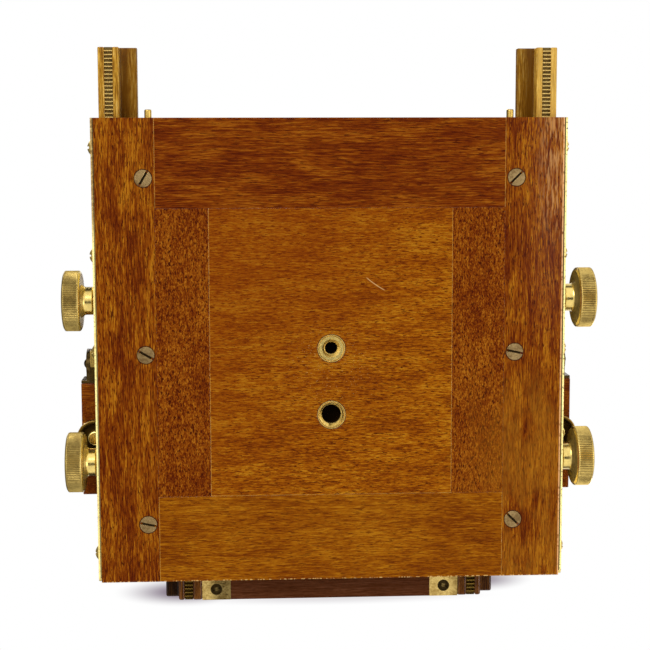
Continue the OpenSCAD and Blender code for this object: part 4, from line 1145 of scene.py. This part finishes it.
def fingerStep(y):
    # 1 on every other finger, counted along y
    return ((y - boxLow[1]) / (2 * box["finger"])).calc("FRACT") > 0.5


def endFingers(x, y, z):
    # where the box's corners show the other board's end grain, in steps along y
    return (abs(x) - box["wall"]).rise(-0.1, 0.1) * fingerStep(y)


def sideFingers(x, y, z):
    # the same on the side boards, where the fingers lie between those
    return (abs(z - backMiddle[2]) - box["wall"]).rise(-0.1, 0.1) * (1 - fingerStep(y))


def screenFinish():
    # ground glass: milky, with a faint ruled grid
    tree = newFinish("groundGlass")
    where = tree.place()
    x, y, z = where.parts()
    across, up = [abs((v / box["screenGrid"]).calc("FRACT") - 0.5) > 0.485 for v in (x, z - backMiddle[2])]
    grit = tree.noise(where.scaled(6), 2.0, 0.6)
    colour = tree.mix((across | up) * 0.5, tone(214, 222, 220), tone(90, 96, 96))
    return tree.close({"Base Color": colour, "Roughness": grit * 0.1 + 0.5, "Transmission Weight": 0.35,
                       "IOR": 1.52, "Normal": tree.bump(grit, 0.1, 0.1 * mm)})


def buildRear():
    # node, finish, wood, second grain, width of the rounded edge
    member = (mitred(backMiddle[2], 0.98), "x")
    boards = [("rear_box_ends", "boxEndWood", "body", (endFingers, "z"), 0.3),
              ("rear_box_sides", "boxSideWood", "bodyUpright", (sideFingers, "x"), 0.3),
              ("back_frame", "backWood", "back", member, 0.5),
              ("focus_frame", "focusWood", "focus", member, 0.6)]
    for node, name, wood, second, edge in boards:
        roundedCopy(node, woodFinish(name, wood, (), second), edge, 3)
    for node in ("back_catch", "handle_posts"):
        roundedCopy(node, brass["plain"], 0.15)
    roundedCopy("hinge_lugs", brass["lug"], 0.15)
    card = clothFinish("blackCard", (22, 21, 22), (34, 32, 32), 0.8, 0.55)
    roundedCopy("bellows_frame", card, 0.2)
    finishNode("ground_glass", screenFinish())
    lug, post = box["lugScrews"], box["postScrews"]
    x, front, bottom, top = lug["x"], boxLow[1] - lug["forward"], boxLow[2], spanMm("handle_posts")[1][2]
    lugs = [((side * x, front, bottom + row + lug["up"]), "y", -1, 25 + 60 * side + 9 * row)
            for side in bothWays for row in lug["rows"]]
    screwGroup("lugScrews", smallScrew, lugs, "rear_standard")
    middle = middleMm("handle_posts")[1]
    posts = [((side * post["x"], middle + way * post["y"], top), "z", 1, 40 + 50 * way + 20 * side)
             for side in bothWays for way in bothWays]
    screwGroup("postScrews", smallScrew, posts, "rear_standard")


buildRear()
print("rear standard dressed")


# Flat springs: each half is a bent bar from the back, where its foot is, onto the sliding screen
spring = {"width": 8.0, "thick": 0.8, "foot": 10.0, "ramp": 7.0, "rise": 0.6, "bend": 20, "depth": 80,
          "screw": 4}


def springForm(middleX, tip, way, low, screenRear):
    # a flat bar along z: foot on the back, ramp, and the long blade on the screen
    heights = np.array([tip, tip - spring["foot"], tip - spring["foot"] - spring["ramp"], 0.0])
    depths = np.array([low, low, screenRear, screenRear + spring["rise"]])
    # close stations down to the end of the ramp, wider ones along the blade
    along = np.concatenate([np.linspace(tip, 60, 64), np.linspace(59, 0, 20)])
    shape = np.interp(-along, -heights, depths)
    shape = np.convolve(np.pad(shape, 4, "edge"), np.ones(9) / 9, "valid")
    half = spring["width"] / 2 * np.clip(np.sqrt(np.clip((tip - along) / 2.5, 0.02, 1)), 0, 1)
    corners = [(-1, 0.0), (1, 0.0), (1, spring["thick"]), (-1, spring["thick"]), (-1, 0.0)]
    rows = [np.stack([middleX + u * half, shape + t, backMiddle[2] + way * along], 1) for u, t in corners]
    return np.concatenate(rows), stripFaces(len(along))


def buildSprings():
    springBrass = brassFinish("springBrass", "spring")
    low, high = spanMm("back_springs")
    tip = high[2] - backMiddle[2]
    screenRear = spanMm("focus_frame")[1][1] + 0.1
    screws = []
    for side in bothWays:
        middleX = side * (high[0] - spring["width"] / 2)
        for way in bothWays:
            name = "spring_%s_%s" % ("left" if side < 0 else "right", "top" if way > 0 else "bottom")
            form = springForm(middleX, tip, way, low[1], screenRear)
            piece = makePiece(name, form, springBrass, None, 30.0, ("back_springs",))
            foot = tip - spring["foot"]
            start, end = [Vector((middleX, spring["depth"], backMiddle[2] + way * height)) * mm
                          for height in (foot, foot - spring["bend"])]
            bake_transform(piece)
            place = (middleX, low[1] + spring["thick"], backMiddle[2] + way * (tip - spring["screw"]))
            screws.append((place, "y", 1, 20 + 45 * side + 30 * way))
    screwGroup("springScrews", springScrew, screws, "rear_standard")


buildSprings()
print("springs bent")


# Leather handle: a strap swept along its arch, padded in the middle and stitched
strap = {
    "half": 62.0,
    "end": 80.0,
    "rise": 20.0,
    "width": 20.0,
    "thick": 4.0,
    "pad": {"half": 44, "thick": 2.2, "swell": 0.6, "dome": 0.12},
    "rows": 121,
    "columns": 32,
    "corner": 0.42,
    "stitch": {"size": (2.2, 0.7, 0.5), "half": 46, "step": 3.6, "inset": 2.4, "sink": 0.975},
}


def strapHeight(x):
    # one cosine wave over the middle, level towards both ends
    arch = strap["rise"] * (1 + np.cos(np.pi * x / strap["half"])) / 2
    return np.where(np.abs(x) < strap["half"], arch, 0.0)


def buildHandle():
    low, high = spanMm("handle_strap")
    centreY = (low[1] + high[1]) / 2
    along = np.linspace(-strap["end"], strap["end"], strap["rows"])
    padded, stitch = strap["pad"], strap["stitch"]
    pad = np.clip(1 - (np.abs(along) / padded["half"]) ** 4, 0, 1)
    half = strap["width"] / 2 + padded["swell"] * pad
    thick = strap["thick"] + padded["thick"] * pad
    bottom = low[2] + strapHeight(along)
    rows, columns = strap["rows"], strap["columns"]
    # each ring is a rectangle with soft corners: cosine and sine raised to a small power
    turn = np.linspace(0, fullTurn, columns + 1)[:-1]
    across, up = [np.sign(v) * np.abs(v) ** strap["corner"] for v in (np.cos(turn), np.sin(turn))]
    points = []
    for i in range(rows):
        lift = bottom[i] + thick[i] / 2 + up * thick[i] / 2 * (1 - padded["dome"] * across ** 2 * pad[i])
        points.append(np.stack([np.full(columns, along[i]), centreY + across * half[i], lift], 1))
    faces = gridFaces(rows, columns)
    faces += [list(range(columns - 1, -1, -1)), list(range((rows - 1) * columns, rows * columns))]
    leather = clothFinish("strapLeather", (92, 50, 26), (60, 30, 14), 0.9, 0.42)
    makePiece("handle_strap.swept", (np.concatenate(points), faces), leather, "rear_standard",
              50.0, ("handle_strap",))
    stitches = []
    block, blockFaces = roundedBlock((0, 0, 0), stitch["size"], 0.24, 2)
    for side in bothWays:
        for x in np.arange(-stitch["half"], stitch["half"] + 0.1, stitch["step"]):
            i = int(np.argmin(np.abs(along - x)))
            climb = bottom[i + 1] + thick[i + 1] - bottom[i - 1] - thick[i - 1]
            slope = climb / (along[i + 1] - along[i - 1])
            run = 1 / math.hypot(1, slope)
            tilt = np.array([[run, 0, slope * run], [0, 1, 0], [-slope * run, 0, run]])
            place = (x, centreY + side * (half[i] - stitch["inset"]), bottom[i] + thick[i] * stitch["sink"])
            stitches.append((block @ tilt + place, blockFaces))
    thread = clothFinish("stitchThread", (176, 140, 88), (140, 104, 60), 3.0, 0.7)
    makePiece("handleStitches", joinForms(stitches), thread, "rear_standard", 60.0)


buildHandle()
print("handle stitched")


# Bellows: one pleated square tube in six lengths, cut at the joints of the camera
bellows = {
    "folds": 16,
    "front": 53.0,
    "rear": 93.0,
    "depth": 7.0,
    "cloth": 0.8,
    "perFold": 10,
    "perSide": 28,
    "corner": (0.84, 0.16, 2.2),
    "links": [("lens_carrier", "front_standard", -51.0), ("front_standard", "front_frame", -25.0),
              ("front_frame", "base", 8.0), ("base", "rear_frame", 21.5), ("rear_frame", "rear_swing", 30.5),
              ("rear_swing", "rear_standard", 60.5)],
}


def bellowsRing(y, low, high, middleZ, inset):
    # one cross-section: the sides' folds and the corners' folds run opposite ways
    depth, share = bellows["depth"], (y - low) / (high - low)
    cornerStart, cornerLength, cut = bellows["corner"]
    phase = share * bellows["folds"] % 1
    zigzag = 1 - 2 * abs(phase - 0.5) * 2
    swing = -math.sin(zigzag * math.pi / 2) * 0.18 - zigzag * 0.82
    reach = bellows["front"] + (bellows["rear"] - bellows["front"]) * share - depth / 2 - inset
    side = np.linspace(-1, 1, bellows["perSide"] + 1)[:-1]
    nearCorner = np.clip((np.abs(side) - cornerStart) / cornerLength, 0, 1)
    settle = np.clip(min(share, 1 - share) * bellows["folds"] * 2, 0, 1)
    radius = reach + swing * depth / 2 * (1 - 1.5 * nearCorner) * settle + (1 - settle) * depth / 2
    flat, run = radius - cut * nearCorner ** 2, side * radius
    pairs = ((run, -flat), (flat, run), (-run, flat), (-flat, -run))
    ring = np.concatenate([np.stack(pair, 1) for pair in pairs])
    return np.stack([ring[:, 0], np.full(len(ring), y), ring[:, 1] + middleZ], 1)


def buildBellows():
    cloth = clothFinish("bellowsCloth", (34, 30, 30), (20, 18, 19), 1.1, 0.62)
    low, high = spanMm("lens_frame")[1][1], spanMm("bellows_frame")[0][1]
    middleZ = middleMm("lens_frame")[2]
    uniform = np.linspace(low, high, bellows["folds"] * bellows["perFold"] + 1)
    edges = [low] + [link[2] for link in bellows["links"]]
    edges[-1] = high
    for i, (before, after, _) in enumerate(bellows["links"]):
        start, end = edges[i], edges[i + 1]
        inside = uniform[(uniform > start + 0.05) & (uniform < end - 0.05)]
        stations = np.concatenate([[start], inside, [end]])
        # out along the outer face, back along the inner one
        rings = [bellowsRing(y, low, high, middleZ, 0.0) for y in stations]
        rings += [bellowsRing(y, low, high, middleZ, bellows["cloth"]) for y in stations[::-1]] + rings[:1]
        form = (np.concatenate(rings), gridFaces(len(rings), bellows["perSide"] * 4))
        piece = makePiece("bellows_%d" % (i + 1), form, cloth, None, 60.0, ("bellows",))
        # the cut ends stay crisp, so that the folds shade as one from length to length
        for edge in piece.data.edges:
            first, second = (piece.data.vertices[v].co.y / mm for v in edge.vertices)
            if abs(first - second) < 1e-3 and min(abs(first - start), abs(first - end)) < 1e-3:
                edge.use_edge_sharp = True
        start * mm
        end * mm
        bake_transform(piece)


buildBellows()
print("bellows folded")
